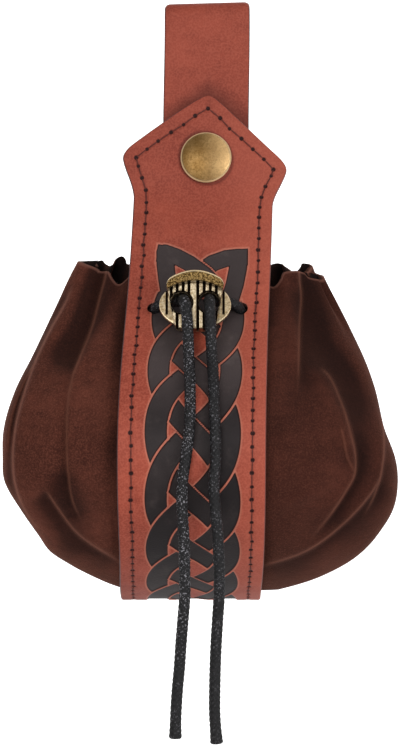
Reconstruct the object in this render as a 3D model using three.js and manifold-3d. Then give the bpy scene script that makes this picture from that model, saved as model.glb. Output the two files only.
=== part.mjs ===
// A medieval belt pouch, hanging by its belt loop.
// Millimetres, +Z up, the front faces -Y and +X is to the right of someone who looks at it.
// The origin is the inside top of the belt loop, where a belt carries it.

import * as THREE from 'three';
import { mergeVertices } from 'three/addons/utils/BufferGeometryUtils.js';
import Module from 'manifold-3d';

const wasm = await Module();
wasm.setup();

// Fits
const clearance = 0.3; // between two pieces that touch
const leather = 2.4; // thickness of the strap and the panel
const suede = 2; // thickness of the bag's wall

// Belt strap
const strapWidth = 28;
const strapCorner = 6; // radius of the end behind the head
const loopGap = 4.5; // inside of the fold at the top
const loopLean = 6.25; // degrees that the front run and the head lean
const strapEndReach = 10.5; // how far the front run goes on below the snap
const strapSewnDrop = 130; // lower end of the back run, below the origin

// Snap
const snapDrop = 49.7; // below the origin
const capDiameter = 17;
const capHeight = 2.3;
const shankDiameter = 3.8;
const socketDiameter = 9.6;
const socketHeight = 2.2;
const baseDiameter = 9;
const baseHeight = 1.2;
const studFlange = 0.4; // thickness of the stud's plate on the strap
const studDiameter = 4;
const postDiameter = 3.4;
const snapPlay = 0.8; // how much wider a hole in the leather is than what goes through it

// Front panel
const panelWidth = 45.7;
const shoulderWidth = 53.6; // widest place of the head
const tipWidth = 2.4; // blunt tip of the head
const tipRise = 21.2; // tip above the snap, along the leather
const slantLength = 22.5; // from the tip down to the shoulders
const waistLength = 15.4; // from the shoulders down to the plain width
const panelCorner = 5; // radius of the tail's corners
const bellyReach = 49; // how far the belly stands in front of the head
const pouchDrop = 198.1; // lowest place of the panel, below the origin
const turnRadius = 8; // outside of the turn under the bag
const tailTopDrop = 105; // upper end of the tail, below the origin
const driftReach = 4.6; // how far the panel wanders to the left

// Bag
const mouthDrop = 82; // highest place of the mouth, below the origin
const mouthRake = 6.4; // how much lower the mouth is in front than behind
const bagHalfWidth = 64.4;
const bagMiddle = -2; // the bag's middle, left of the strap's
const pleatDepth = 7;
const foldHeight = 2.4; // of the low folds beside the panel
const bagKeel = 0.9; // half thickness left where the bag's bottom closes

// Cord and bead
const cordDiameter = 3.5;
const cordHole = 4.4; // holes in the panel and the bag
const cordHoleSpacing = 28.2;
const cordHoleDrop = 100.1;
const hemInset = 11; // of the held cord, behind the bag's surface
const beadFootDrop = 102.3; // place of the panel behind the bead
const beadStand = 5.2; // bead's back, off the panel
const beadTilt = 10; // degrees that the bead looks up
const beadSide = -0.6; // bead's middle, left of the panel's
const flangeWidth = 23;
const flangeHeight = 15.6;
const flangeThickness = 1.8;
const drumWidth = 18.2;
const drumHeight = 19.3;
const drumDepth = 4.2;
const beadHole = 6.8;
const beadHoleSpacing = 8.9;
const ribPitch = 1.95;
const ribGroove = 0.6;
const ribDepth = 0.5;
const browHeight = 3.6;
const browStep = 0.5; // brow above the ribs

// The panel's outer face below the snap. Down is a share of the drop from the snap to the lowest
// place, out is a share of bellyReach.
const panelSide = [
  { down: 0.11, out: 0.062 },
  { down: 0.167, out: 0.143 },
  { down: 0.285, out: 0.3 },
  { down: 0.36, out: 0.46 },
  { down: 0.485, out: 0.79 },
  { down: 0.584, out: 0.965 },
  { down: 0.66, out: 1 },
  { down: 0.756, out: 0.924 },
  { down: 0.861, out: 0.653 },
  { down: 0.938, out: 0.306 },
  { down: 0.975, out: 0.06 },
];

// Sideways wander of the panel. Along is a share of its length, side a share of driftReach.
const panelDrift = [
  { along: 0, side: 0.02 },
  { along: 0.07, side: -0.08 },
  { along: 0.17, side: -0.36 },
  { along: 0.29, side: -0.76 },
  { along: 0.4, side: -1 },
  { along: 0.68, side: -1 },
  { along: 0.85, side: -0.55 },
  { along: 1, side: -0.4 },
];

// Width of the bag. Down is a share of the drop from the mouth to the bottom, left and right are
// shares of bagHalfWidth, square is the power of the rounded section.
const bagGirth = [
  { down: 0, left: 0.625, right: 0.575, square: 2.3 },
  { down: 0.07, left: 0.68, right: 0.636, square: 2.25 },
  { down: 0.14, left: 0.732, right: 0.699, square: 2.2 },
  { down: 0.22, left: 0.787, right: 0.769, square: 2.2 },
  { down: 0.31, left: 0.862, right: 0.842, square: 2.2 },
  { down: 0.4, left: 0.943, right: 0.893, square: 2.2 },
  { down: 0.5, left: 0.99, right: 0.93, square: 2.2 },
  { down: 0.59, left: 0.998, right: 0.986, square: 2.2 },
  { down: 0.66, left: 0.985, right: 1, square: 2.2 },
  { down: 0.74, left: 0.895, right: 0.975, square: 2.2 },
  { down: 0.82, left: 0.8, right: 0.885, square: 2.25 },
  { down: 0.87, left: 0.715, right: 0.79, square: 2.3 },
  { down: 0.91, left: 0.58, right: 0.675, square: 2.4 },
  { down: 0.95, left: 0.465, right: 0.52, square: 2.6 },
  { down: 0.975, left: 0.4, right: 0.4, square: 2.8 },
  { down: 1, left: 0.31, right: 0.3, square: 3 },
];

// Valleys between the gathers. At is where one starts at the mouth and to where it ends, as shares
// of a turn from the front to the right; wide is half its width as a share of a turn, deep a share
// of pleatDepth, fade the share of the drop over which it runs out, dip how much lower the mouth's
// edge is there as a share of mouthRake.
const pleats = [
  { at: 0.0, to: 0.0, wide: 0.022, deep: 0.8, fade: 0.4, dip: 0.4 },
  { at: 0.098, to: 0.085, wide: 0.022, deep: 0.95, fade: 0.5, dip: 0.7 },
  { at: 0.162, to: 0.128, wide: 0.022, deep: 0.95, fade: 0.72, dip: 0.1 },
  { at: 0.213, to: 0.2, wide: 0.02, deep: 0.7, fade: 0.4, dip: 0.1 },
  { at: 0.282, to: 0.29, wide: 0.022, deep: 0.8, fade: 0.5, dip: 0.1 },
  { at: 0.326, to: 0.34, wide: 0.02, deep: 0.9, fade: 0.55, dip: 0 },
  { at: 0.365, to: 0.375, wide: 0.019, deep: 0.95, fade: 0.45, dip: 0.1 },
  { at: 0.41, to: 0.41, wide: 0.022, deep: 0.8, fade: 0.4, dip: 0 },
  { at: 0.455, to: 0.455, wide: 0.022, deep: 0.75, fade: 0.35, dip: 0 },
  { at: 0.5, to: 0.5, wide: 0.022, deep: 0.8, fade: 0.35, dip: 0 },
  { at: 0.545, to: 0.545, wide: 0.022, deep: 0.75, fade: 0.35, dip: 0 },
  { at: 0.59, to: 0.59, wide: 0.022, deep: 0.8, fade: 0.4, dip: 0 },
  { at: 0.628, to: 0.62, wide: 0.019, deep: 0.95, fade: 0.45, dip: 0.1 },
  { at: 0.67, to: 0.66, wide: 0.02, deep: 0.9, fade: 0.55, dip: 0 },
  { at: 0.715, to: 0.71, wide: 0.022, deep: 0.8, fade: 0.5, dip: 0 },
  { at: 0.778, to: 0.79, wide: 0.018, deep: 0.4, fade: 0.4, dip: 0 },
  { at: 0.85, to: 0.886, wide: 0.024, deep: 0.95, fade: 0.75, dip: 0 },
  { at: 0.9, to: 0.915, wide: 0.02, deep: 0.95, fade: 0.5, dip: 0.6 },
];

// Raised folds low on the bag, each from one place to another. At is a share of a turn, down a
// share of the drop, wide a half width in shares of the drop, high a share of foldHeight.
const lowFolds = [
  { at: 0.862, down: 0.74, toAt: 0.912, toDown: 0.93, wide: 0.05, high: 1 },
  { at: 0.17, down: 0.74, toAt: 0.085, toDown: 0.93, wide: 0.05, high: 1 },
  { at: 0.81, down: 0.35, toAt: 0.795, toDown: 0.72, wide: 0.05, high: 0.7 },
  { at: 0.15, down: 0.36, toAt: 0.14, toDown: 0.78, wide: 0.05, high: 0.9 },
  { at: 0.35, down: 0.4, toAt: 0.4, toDown: 0.85, wide: 0.06, high: 0.8 },
  { at: 0.66, down: 0.4, toAt: 0.61, toDown: 0.85, wide: 0.06, high: 0.8 },
];

// Routes of the two hanging ends, chosen by hand, from inside the bead down to the cut end
const leftRoute = [
  [-7.4, -42.8, -97.9], [-7.35, -45.3, -98], [-7, -48.4, -98.7], [-6.5, -50.9, -100.8],
  [-6.1, -52, -104], [-5.8, -52.5, -109], [-5.6, -53.7, -114.8], [-5.25, -58.1, -122.2],
  [-5.05, -62.5, -129.8], [-5.2, -65.7, -137.2], [-6.3, -67.1, -147], [-7.5, -67.2, -155.7],
  [-7.5, -67.1, -164.3], [-6.95, -67, -173], [-6.75, -67, -181.7], [-6.7, -67, -190.2],
  [-7.25, -67, -197.4], [-7.85, -67, -204.8], [-8.35, -67, -212.2], [-9, -67, -219.3],
  [-9.45, -67, -226.8], [-9.65, -67, -235],
];
const rightRoute = [
  [1, -42.8, -97.9], [1, -45.3, -98], [1.05, -48.4, -98.7], [1.1, -50.9, -100.8],
  [1.2, -52, -104], [1.4, -52.5, -109], [1.7, -53.7, -114.8], [2.15, -58.1, -122.2],
  [2.35, -62.5, -129.8], [2.65, -65.7, -137.2], [2.85, -67.1, -147], [2.3, -67.2, -155.7],
  [2.85, -67.1, -164.3], [3.55, -67, -173], [3.9, -67, -181.7], [3.9, -67, -190.2],
  [3.45, -67, -197.4], [3, -67, -204.8], [2.7, -67, -212.2], [2.55, -67, -219.3],
  [2.55, -67, -226.8], [3.2, -67, -235.6],
];

// Finishes
const reddishLeather = new THREE.MeshStandardMaterial({ color: 0xa9553f, roughness: 0.55 });
const darkSuede = new THREE.MeshStandardMaterial({ color: 0x4b2a20, roughness: 0.95 });
const agedBrass = new THREE.MeshStandardMaterial({ color: 0xa57d46, roughness: 0.35, metalness: 1 });
const agedBronze = new THREE.MeshStandardMaterial({ color: 0xb09a78, roughness: 0.4, metalness: 1 });
const waxedCord = new THREE.MeshStandardMaterial({ color: 0x1e2026, roughness: 0.6 });

const degrees = Math.PI / 180;
const lean = Math.tan(loopLean * degrees);

// Value of one column of a table at a place, joined smoothly through its rows
function fromTable(table, placeColumn, valueColumn, place) {
  const last = table.length - 1;
  let row = 0;
  while (row < last - 1 && place > table[row + 1][placeColumn]) row += 1;
  const start = table[row][placeColumn];
  const span = table[row + 1][placeColumn] - start;
  const share = THREE.MathUtils.clamp((place - start) / span, 0, 1);
  const slope = (i) => {
    const low = Math.max(i - 1, 0);
    const high = Math.min(i + 1, last);
    const rise = table[high][valueColumn] - table[low][valueColumn];
    return rise / (table[high][placeColumn] - table[low][placeColumn]);
  };
  const a = table[row][valueColumn];
  const b = table[row + 1][valueColumn];
  const square = share * share;
  const cube = square * share;
  return (2 * cube - 3 * square + 1) * a + (3 * square - 2 * cube) * b
    + ((cube - 2 * square + share) * slope(row) + (cube - square) * slope(row + 1)) * span;
}

// The smaller of two values, with the corner between them rounded
function softMin(a, b, rounding) {
  const share = Math.max(rounding - Math.abs(a - b), 0) / rounding;
  return Math.min(a, b) - (share * share * rounding) / 4;
}

// Closed surface through rings of points, its ends closed onto their middles
function loft(rings) {
  const count = rings[0].length;
  const points = rings.flat();
  const faces = [];
  for (let i = 0; i + 1 < rings.length; i += 1) {
    for (let j = 0; j < count; j += 1) {
      const next = (j + 1) % count;
      const a = i * count + j;
      const b = i * count + next;
      faces.push(a, b + count, b, a, a + count, b + count);
    }
  }
  const closeEnd = (ring, turned) => {
    const first = ring * count;
    const middle = new THREE.Vector3();
    rings[ring].forEach((point) => middle.addScaledVector(point, 1 / count));
    points.push(middle);
    for (let j = 0; j < count; j += 1) {
      const next = (j + 1) % count;
      const edge = turned ? [first + next, first + j] : [first + j, first + next];
      faces.push(...edge, points.length - 1);
    }
  };
  closeEnd(0, false);
  closeEnd(rings.length - 1, true);
  const geometry = new THREE.BufferGeometry().setFromPoints(points);
  geometry.setIndex(faces);
  return geometry;
}

// A closed geometry as a solid for joining and cutting, and back
function solidOf(geometry) {
  const bare = geometry.clone();
  bare.deleteAttribute('normal');
  bare.deleteAttribute('uv');
  const merged = mergeVertices(bare, 1e-4);
  return new wasm.Manifold(new wasm.Mesh({
    numProp: 3,
    vertProperties: new Float32Array(merged.attributes.position.array),
    triVerts: new Uint32Array(merged.index.array),
  }));
}

function geometryOf(solid) {
  const mesh = solid.getMesh();
  const geometry = new THREE.BufferGeometry();
  const places = new Float32Array(mesh.vertProperties);
  geometry.setAttribute('position', new THREE.BufferAttribute(places, 3));
  geometry.setIndex(new THREE.BufferAttribute(new Uint32Array(mesh.triVerts), 1));
  return geometry;
}

function piece(name, geometry, material) {
  geometry.computeVertexNormals();
  const mesh = new THREE.Mesh(geometry, material);
  mesh.name = name;
  return mesh;
}

// A round bar from one place along a direction
function bar(from, direction, length, diameter, sides) {
  const geometry = new THREE.CylinderGeometry(diameter / 2, diameter / 2, length, sides);
  const turn = new THREE.Quaternion().setFromUnitVectors(new THREE.Vector3(0, 1, 0), direction);
  geometry.applyQuaternion(turn);
  const middle = from.clone().addScaledVector(direction, length / 2);
  geometry.translate(middle.x, middle.y, middle.z);
  return geometry;
}

// A side view curve, asked by length. Its points hold y and z, and outside is to its right.
class SideCurve {
  constructor(points) {
    const places = points.map(([y, z]) => new THREE.Vector3(0, y, z));
    this.curve = new THREE.CatmullRomCurve3(places, false, 'centripetal');
    this.curve.arcLengthDivisions = 800;
    this.length = this.curve.getLength();
  }

  // Place and outward direction at a length, going straight on past either end
  at(length) {
    const inside = THREE.MathUtils.clamp(length, 0, this.length);
    const point = this.curve.getPointAt(inside / this.length);
    const along = this.curve.getTangentAt(inside / this.length);
    point.addScaledVector(along, length - inside);
    return { point, along, out: new THREE.Vector3(0, along.z, -along.y) };
  }
}

// A flat strip of leather bent along a side curve that is its outer face
function bentStrip(side, stations, halfWidth, drift) {
  const step = 0.5;
  const rings = stations.map((length) => {
    const turn = Math.atan((drift(length + step) - drift(length - step)) / (2 * step));
    const corner = (across, depth) => {
      const { point, out } = side.at(length - across * Math.sin(turn));
      point.addScaledVector(out, -depth);
      point.x = drift(length) + across * Math.cos(turn);
      return point;
    };
    const half = halfWidth(length);
    return [corner(-half, 0), corner(half, 0), corner(half, leather), corner(-half, leather)];
  });
  return loft(rings);
}

// Lengths of the rows over a rounded end, a turn apart
function cornerStations(end, radius, turn) {
  const stations = [];
  for (let angle = 90; angle >= 0; angle -= turn) {
    stations.push(end - radius * (1 - Math.cos(angle * degrees)));
  }
  return stations;
}

// Half width near a rounded end
function roundedEnd(half, radius, left) {
  const into = THREE.MathUtils.clamp(radius - left, 0, radius);
  return half - radius + Math.sqrt(Math.max(radius * radius - into * into, 0));
}

// Belt strap: up the back, over the fold and down the front
const foldMiddle = -loopGap / 2;
const foldOuter = loopGap / 2 + leather;
const foldEnd = 180 - loopLean;
const frontRunLength = (snapDrop + strapEndReach + foldMiddle) / Math.cos(loopLean * degrees);

function strapSide() {
  const onFold = (angle) => {
    return [foldOuter * Math.cos(angle * degrees), foldMiddle + foldOuter * Math.sin(angle * degrees)];
  };
  const points = [-strapSewnDrop, -strapSewnDrop * 0.55, foldMiddle - 6].map((z) => [foldOuter, z]);
  for (let angle = 0; angle < foldEnd; angle += 15) points.push(onFold(angle));
  const [y, z] = onFold(foldEnd);
  for (const share of [0, 0.1, 0.5, 1]) {
    const run = frontRunLength * share;
    points.push([y - run * Math.sin(loopLean * degrees), z - run * Math.cos(loopLean * degrees)]);
  }
  return new SideCurve(points);
}

const strapCurve = strapSide();
const frontFaceAtSnap = -foldOuter - lean * (snapDrop + foldMiddle); // strap's front face, Y
const snapGap = socketHeight + studFlange + 3 * clearance; // between strap and head
const headFace = frontFaceAtSnap - snapGap - leather; // head's outer face at the snap, Y

function makeStrap() {
  const stations = [];
  const foldStart = strapSewnDrop + foldMiddle;
  const foldLength = foldOuter * foldEnd * degrees;
  for (const share of [0, 0.012, 0.03, 0.25, 0.5, 0.75, 0.95]) stations.push(foldStart * share);
  for (let i = 0; i <= 12; i += 1) stations.push(foldStart + (foldLength * i) / 12);
  const runLength = strapCurve.length - foldStart - foldLength;
  for (const share of [0.1, 0.4, 0.7, 0.9]) stations.push(foldStart + foldLength + runLength * share);
  stations.push(...cornerStations(strapCurve.length, strapCorner, 30));
  const half = (length) => roundedEnd(strapWidth / 2, strapCorner, strapCurve.length - length);
  const solid = solidOf(bentStrip(strapCurve, stations, half, () => 0));
  const holeStart = snapAt(-leather - snapGap + 1);
  const hole = bar(holeStart, snapOut.clone().negate(), leather + 2, postDiameter + snapPlay, 16);
  return piece('belt_strap', geometryOf(solid.subtract(solidOf(hole))), reddishLeather);
}

// Places on the snap's axis, by their height above the head's outer face
const snapOut = new THREE.Vector3(0, -Math.cos(loopLean * degrees), Math.sin(loopLean * degrees));

function snapAt(height) {
  return new THREE.Vector3(0, headFace, -snapDrop).addScaledVector(snapOut, height);
}

// Front panel: head, front, turn and tail
const tailFace = loopGap / 2 - clearance; // tail's outer face, Y

function panelOutline() {
  const fall = pouchDrop - snapDrop;
  const tipDown = tipRise * Math.cos(loopLean * degrees);
  const underCap = capDiameter / 2 + 1; // the head is straight down to here
  const ups = [tipDown, tipDown / 2, 0, -underCap / 2, -underCap];
  const points = ups.map((up) => [headFace + lean * up, up - snapDrop]);
  for (const { down, out } of panelSide) {
    points.push([headFace - bellyReach * out, -snapDrop - fall * down]);
  }
  for (let angle = 0; angle <= 90; angle += 22.5) {
    const y = tailFace - turnRadius + turnRadius * Math.sin(angle * degrees);
    points.push([y, turnRadius - pouchDrop - turnRadius * Math.cos(angle * degrees)]);
  }
  const turnTop = pouchDrop - turnRadius;
  for (const share of [0.08, 0.5, 1]) points.push([tailFace, (turnTop - tailTopDrop) * share - turnTop]);
  return new SideCurve(points);
}

const panelCurve = panelOutline();

function driftAt(length) {
  return driftReach * fromTable(panelDrift, 'along', 'side', length / panelCurve.length);
}

// Half width of the panel: slanted tip, rounded shoulders, waist, plain width, round tail corners
function panelHalf(length) {
  const slope = (shoulderWidth - tipWidth) / 2 / slantLength;
  const slant = tipWidth / 2 + slope * length;
  const past = THREE.MathUtils.clamp((length - slantLength) / waistLength, 0, 1);
  const waist = (panelWidth + (shoulderWidth - panelWidth) * (0.5 + 0.5 * Math.cos(past * Math.PI))) / 2;
  const wide = softMin(slant, waist, 2.5);
  return roundedEnd(wide, panelCorner, panelCurve.length - length);
}

// Length along the panel at which its front reaches a drop below the origin
function lengthAtDrop(drop) {
  let low = 0;
  let high = panelCurve.length * 0.6;
  for (let i = 0; i < 40; i += 1) {
    const middle = (low + high) / 2;
    if (-panelCurve.at(middle).point.z < drop) low = middle;
    else high = middle;
  }
  return low;
}

// Place on the panel's outer face, a distance across from its middle
function onPanel(drop, across) {
  const length = lengthAtDrop(drop);
  const { point, out } = panelCurve.at(length);
  point.x = driftAt(length) + across;
  return { point, out };
}

const leftAndRight = [-1, 1];
const holePlaces = leftAndRight.map((sign) => onPanel(cordHoleDrop, (sign * cordHoleSpacing) / 2));

function makePanel() {
  const stations = [];
  const headEnd = slantLength + waistLength;
  for (const share of [0, 0.25, 0.5, 0.7, 0.82, 0.9, 0.96]) stations.push(slantLength * share);
  for (let i = 0; i <= 8; i += 1) stations.push(slantLength + (waistLength * i) / 8);
  const rows = 58;
  const end = panelCurve.length - panelCorner;
  for (let i = 1; i <= rows; i += 1) stations.push(headEnd + ((end - headEnd) * i) / rows);
  stations.push(...cornerStations(panelCurve.length, panelCorner, 30).slice(1));
  let solid = solidOf(bentStrip(panelCurve, stations, panelHalf, driftAt));
  const cuts = holePlaces.map(({ point, out }) => {
    return bar(point.clone().addScaledVector(out, 2), out.clone().negate(), leather + 4, cordHole, 16);
  });
  cuts.push(bar(snapAt(2), snapOut.clone().negate(), leather + 4, shankDiameter + snapPlay, 16));
  for (const cut of cuts) solid = solid.subtract(solidOf(cut));
  return piece('front_panel', geometryOf(solid), reddishLeather);
}

// Front and back of the space inside the panel, a depth behind its outer face, as rows of y and z
function insidePanel(depth) {
  const rows = [];
  const count = 400;
  for (let i = 0; i <= count; i += 1) {
    const { point, out } = panelCurve.at((panelCurve.length * i) / count);
    point.addScaledVector(out, -depth);
    rows.push(point);
  }
  const lowest = rows.reduce((best, point, i) => (point.z < rows[best].z ? i : best), 0);
  return { front: rows.slice(0, lowest + 1), back: rows.slice(lowest).reverse(), lowest: rows[lowest].z };
}

// Where a falling row of points reaches a height
function yAtHeight(rows, height) {
  let i = 1;
  while (i < rows.length - 1 && rows[i].z > height) i += 1;
  const share = THREE.MathUtils.clamp((height - rows[i - 1].z) / (rows[i].z - rows[i - 1].z), 0, 1);
  return rows[i - 1].y + (rows[i].y - rows[i - 1].y) * share;
}

const skins = [clearance, clearance + suede].map((inset) => insidePanel(leather + inset));
const bagFall = pouchDrop - leather - clearance - mouthDrop;
const bagBack = tailFace - leather - clearance; // bag's back above the tail, Y

// How far a share of a turn lies from another, at most half a turn
function turnBetween(a, b) {
  const apart = a - b;
  return apart - Math.round(apart);
}

function bump(distance, width) {
  return Math.abs(distance) < width ? 0.5 + 0.5 * Math.cos((Math.PI * distance) / width) : 0;
}

// Lower edge of the mouth's rim at a share of a turn, below the origin
function rimDrop(turn) {
  const front = 0.5 + 0.5 * Math.cos(turn * 2 * Math.PI);
  const sideways = 1.8 * Math.sin(turn * 2 * Math.PI); // lower on the right
  let dips = 0;
  for (const row of pleats) dips += row.dip * bump(turnBetween(turn, row.at), row.wide * 1.6);
  return mouthDrop + mouthRake * (0.2 + 0.8 * front + dips) + Math.max(sideways, 0);
}

// Point of the bag's outer (skin 0) or inner (skin 1) face at a share of a turn and of the drop
function bagPoint(turn, share, skin) {
  const inset = skin * suede;
  const inner = skins[skin];
  const floor = inner.lowest + bagKeel;
  const top = -rimDrop(turn);
  const z = top + (floor - top) * share;
  const down = THREE.MathUtils.clamp((-z - mouthDrop) / bagFall, 0, 1);
  const power = 2 / fromTable(bagGirth, 'down', 'square', down);
  const angle = turn * 2 * Math.PI;
  const sine = Math.sin(angle);
  const cosine = Math.cos(angle);
  const column = sine < 0 ? 'left' : 'right';
  const wide = bagHalfWidth * fromTable(bagGirth, 'down', column, down);
  const half = wide - inset * (1 + Math.max(down - 0.6, 0) * 2);
  const front = yAtHeight(inner.front, z);
  const back = Math.max(Math.min(yAtHeight(inner.back, z), bagBack - inset), front + 0.1);
  const middle = (front + back) / 2;
  const depth = (back - front) / 2;
  const across = Math.sign(sine) * Math.abs(sine) ** power;
  const along = Math.sign(cosine) * Math.abs(cosine) ** power;
  const point = new THREE.Vector3(bagMiddle + half * across, middle - depth * along, z);
  const outward = new THREE.Vector3(sine / half, -cosine / depth, 0).normalize();
  let rise = 0;
  for (const row of pleats) {
    const fade = THREE.MathUtils.smoothstep(row.fade - down, 0, row.fade);
    const at = row.to + turnBetween(row.at, row.to) * Math.max(1 - down / row.fade, 0);
    rise -= pleatDepth * row.deep * fade * bump(turnBetween(turn, at), row.wide * (1 + down));
  }
  for (const row of lowFolds) {
    const run = THREE.MathUtils.clamp((down - row.down) / (row.toDown - row.down), 0, 1);
    const off = turnBetween(turn, row.at + turnBetween(row.toAt, row.at) * run) * 2.4;
    const past = down - (row.down + (row.toDown - row.down) * run);
    const swell = bump(Math.hypot(off, past), row.wide) * Math.sin(Math.PI * (0.15 + 0.7 * run));
    rise += foldHeight * row.high * swell;
  }
  return point.addScaledVector(outward, rise);
}

function bagRings(skin, shares, count) {
  return shares.map((share) => {
    const ring = [];
    for (let j = 0; j < count; j += 1) ring.push(bagPoint(j / count, share, skin));
    return ring;
  });
}

function makeBag() {
  const outerShares = [
    0, 0.05, 0.11, 0.18, 0.25, 0.32, 0.4, 0.48, 0.56, 0.63, 0.7, 0.76, 0.82, 0.87, 0.915, 0.95, 0.98, 1,
  ];
  const innerShares = [0, 0.08, 0.17, 0.27, 0.38, 0.5, 0.62, 0.74, 0.84, 0.92, 0.97, 1];
  const around = 96;
  const inside = bagRings(1, innerShares, around).reverse();
  const outside = bagRings(0, outerShares, around);
  let solid = solidOf(loft([...inside, ...outside]));
  for (const { point, out } of holePlaces) {
    const start = point.clone().addScaledVector(out, -leather);
    solid = solid.subtract(solidOf(bar(start, out.clone().negate(), pleatDepth, cordHole, 12)));
  }
  return piece('pouch_bag', geometryOf(solid), darkSuede);
}

// A turned part on an axis, from rows of radius and height that close on themselves
function turned(rows, sides) {
  return new THREE.LatheGeometry(rows.map(([radius, height]) => new THREE.Vector2(radius, height)), sides);
}

// Cap, shank and socket in one solid, heights above the head's outer face
const socketTop = -leather - clearance;
const socketFoot = socketTop - socketHeight;
const recessTop = socketTop - 0.6;

function makeCap() {
  const radius = capDiameter / 2;
  const rows = [[0, recessTop], [studDiameter / 2 + 0.4, recessTop], [studDiameter / 2 + 0.4, socketFoot],
    [socketDiameter / 2, socketFoot], [socketDiameter / 2, socketTop], [shankDiameter / 2, socketTop],
    [shankDiameter / 2, clearance], [radius - 0.4, clearance], [radius, clearance + 0.4]];
  for (let i = 0; i <= 4; i += 1) {
    const angle = (i * 22.5) * degrees;
    rows.push([(radius - 0.3) * Math.cos(angle), clearance + 0.8 + (capHeight - 0.8) * Math.sin(angle)]);
  }
  rows[rows.length - 1][0] = 0;
  return onSnap(piece('snap_cap', turned(rows, 24), agedBrass));
}

function makeStud() {
  const strapFront = -leather - snapGap;
  const strapBack = strapFront - leather;
  const tip = recessTop - 0.4;
  const baseTop = strapBack - clearance;
  const rows = [[0, baseTop - baseHeight], [baseDiameter / 2, baseTop - baseHeight],
    [baseDiameter / 2, baseTop], [postDiameter / 2, baseTop],
    [postDiameter / 2, strapFront + clearance], [socketDiameter / 2 - 0.6, strapFront + clearance],
    [socketDiameter / 2 - 0.6, strapFront + clearance + studFlange],
    [studDiameter / 2 - 0.2, strapFront + clearance + studFlange], [studDiameter / 2, tip - 0.6],
    [studDiameter / 2 - 0.5, tip], [0, tip]];
  return onSnap(piece('snap_stud', turned(rows, 16), agedBrass));
}

// A lathe turns about its own Y, which becomes the snap's axis
function onSnap(mesh) {
  const holder = new THREE.Group();
  mesh.quaternion.setFromUnitVectors(new THREE.Vector3(0, 1, 0), snapOut);
  holder.position.copy(snapAt(0));
  holder.add(mesh);
  return holder;
}

// Bead: oval flange, drum with ribs and brow, and two holes. Its own X is across, Y up, Z forward.
function drumShape(grow) {
  const half = drumWidth / 2 + grow;
  const top = drumHeight * 0.54 + grow;
  const foot = -drumHeight * 0.46 - grow;
  const shape = new THREE.Shape();
  shape.moveTo(0, top);
  shape.bezierCurveTo(half * 0.5, top, half * 0.95, top * 0.8, half * 0.96, top * 0.6);
  shape.bezierCurveTo(half * 1.06, top * 0.1, half * 0.95, foot * 0.5, half * 0.72, foot * 0.8);
  shape.bezierCurveTo(half * 0.5, foot, half * 0.3, foot, 0, foot);
  shape.bezierCurveTo(-half * 0.3, foot, -half * 0.5, foot, -half * 0.72, foot * 0.8);
  shape.bezierCurveTo(-half * 0.95, foot * 0.5, -half * 1.06, top * 0.1, -half * 0.96, top * 0.6);
  shape.bezierCurveTo(-half * 0.95, top * 0.8, -half * 0.5, top, 0, top);
  return shape;
}

function extruded(shape, from, depth, curveSegments) {
  const geometry = new THREE.ExtrudeGeometry(shape, { depth, bevelEnabled: false, curveSegments });
  geometry.translate(0, 0, from);
  return solidOf(geometry);
}

function makeBead() {
  const flange = new THREE.Shape();
  flange.absellipse(0, -0.8, flangeWidth / 2, flangeHeight / 2, 0, Math.PI * 2);
  const front = flangeThickness + drumDepth;
  let solid = extruded(flange, 0, flangeThickness, 14);
  const drum = extruded(drumShape(0), flangeThickness / 2, front - flangeThickness / 2, 5);
  solid = solid.add(drum);
  const brow = extruded(drumShape(-0.2), front - 1, 1 + browStep, 5);
  const browEdge = new THREE.Shape();
  const top = drumHeight * 0.54;
  browEdge.moveTo(-drumWidth, top + browHeight);
  browEdge.lineTo(-drumWidth, top * 0.2 - browHeight);
  browEdge.quadraticCurveTo(0, top * 1.75 - browHeight * 1.6, drumWidth, top * 0.2 - browHeight);
  browEdge.lineTo(drumWidth, top + browHeight);
  browEdge.closePath();
  solid = solid.add(brow.intersect(extruded(browEdge, front - 1.2, 3, 5)));
  const grooves = Math.floor(drumWidth / ribPitch / 2);
  for (const sign of leftAndRight) {
    for (let i = 0; i < grooves; i += 1) {
      const groove = new THREE.Shape();
      const middle = sign * (ribPitch * 0.72 + i * ribPitch);
      const inner = middle - ribGroove / 2;
      groove.moveTo(inner, -drumHeight);
      groove.lineTo(inner + ribGroove, -drumHeight);
      groove.lineTo(inner + ribGroove, top - browHeight - (middle * middle) / drumWidth / 1.3);
      groove.lineTo(inner, top - browHeight - (middle * middle) / drumWidth / 1.3);
      solid = solid.subtract(extruded(groove, front - ribDepth, ribDepth + 1, 1));
    }
  }
  for (const sign of leftAndRight) {
    const hole = new THREE.Shape();
    hole.absarc((sign * beadHoleSpacing) / 2, 0, beadHole / 2, 0, Math.PI * 2);
    solid = solid.subtract(extruded(hole, -1, front + 3, 9));
  }
  const mesh = piece('toggle_bead', geometryOf(solid), agedBronze);
  mesh.rotation.x = Math.PI / 2 - beadTilt * degrees;
  const holder = new THREE.Group();
  holder.position.copy(beadMiddle);
  holder.add(mesh);
  return holder;
}

const beadFoot = onPanel(beadFootDrop, beadSide);
const beadMiddle = beadFoot.point.clone().addScaledVector(beadFoot.out, beadStand);
const beadForward = new THREE.Vector3(0, -Math.cos(beadTilt * degrees), Math.sin(beadTilt * degrees));

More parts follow.
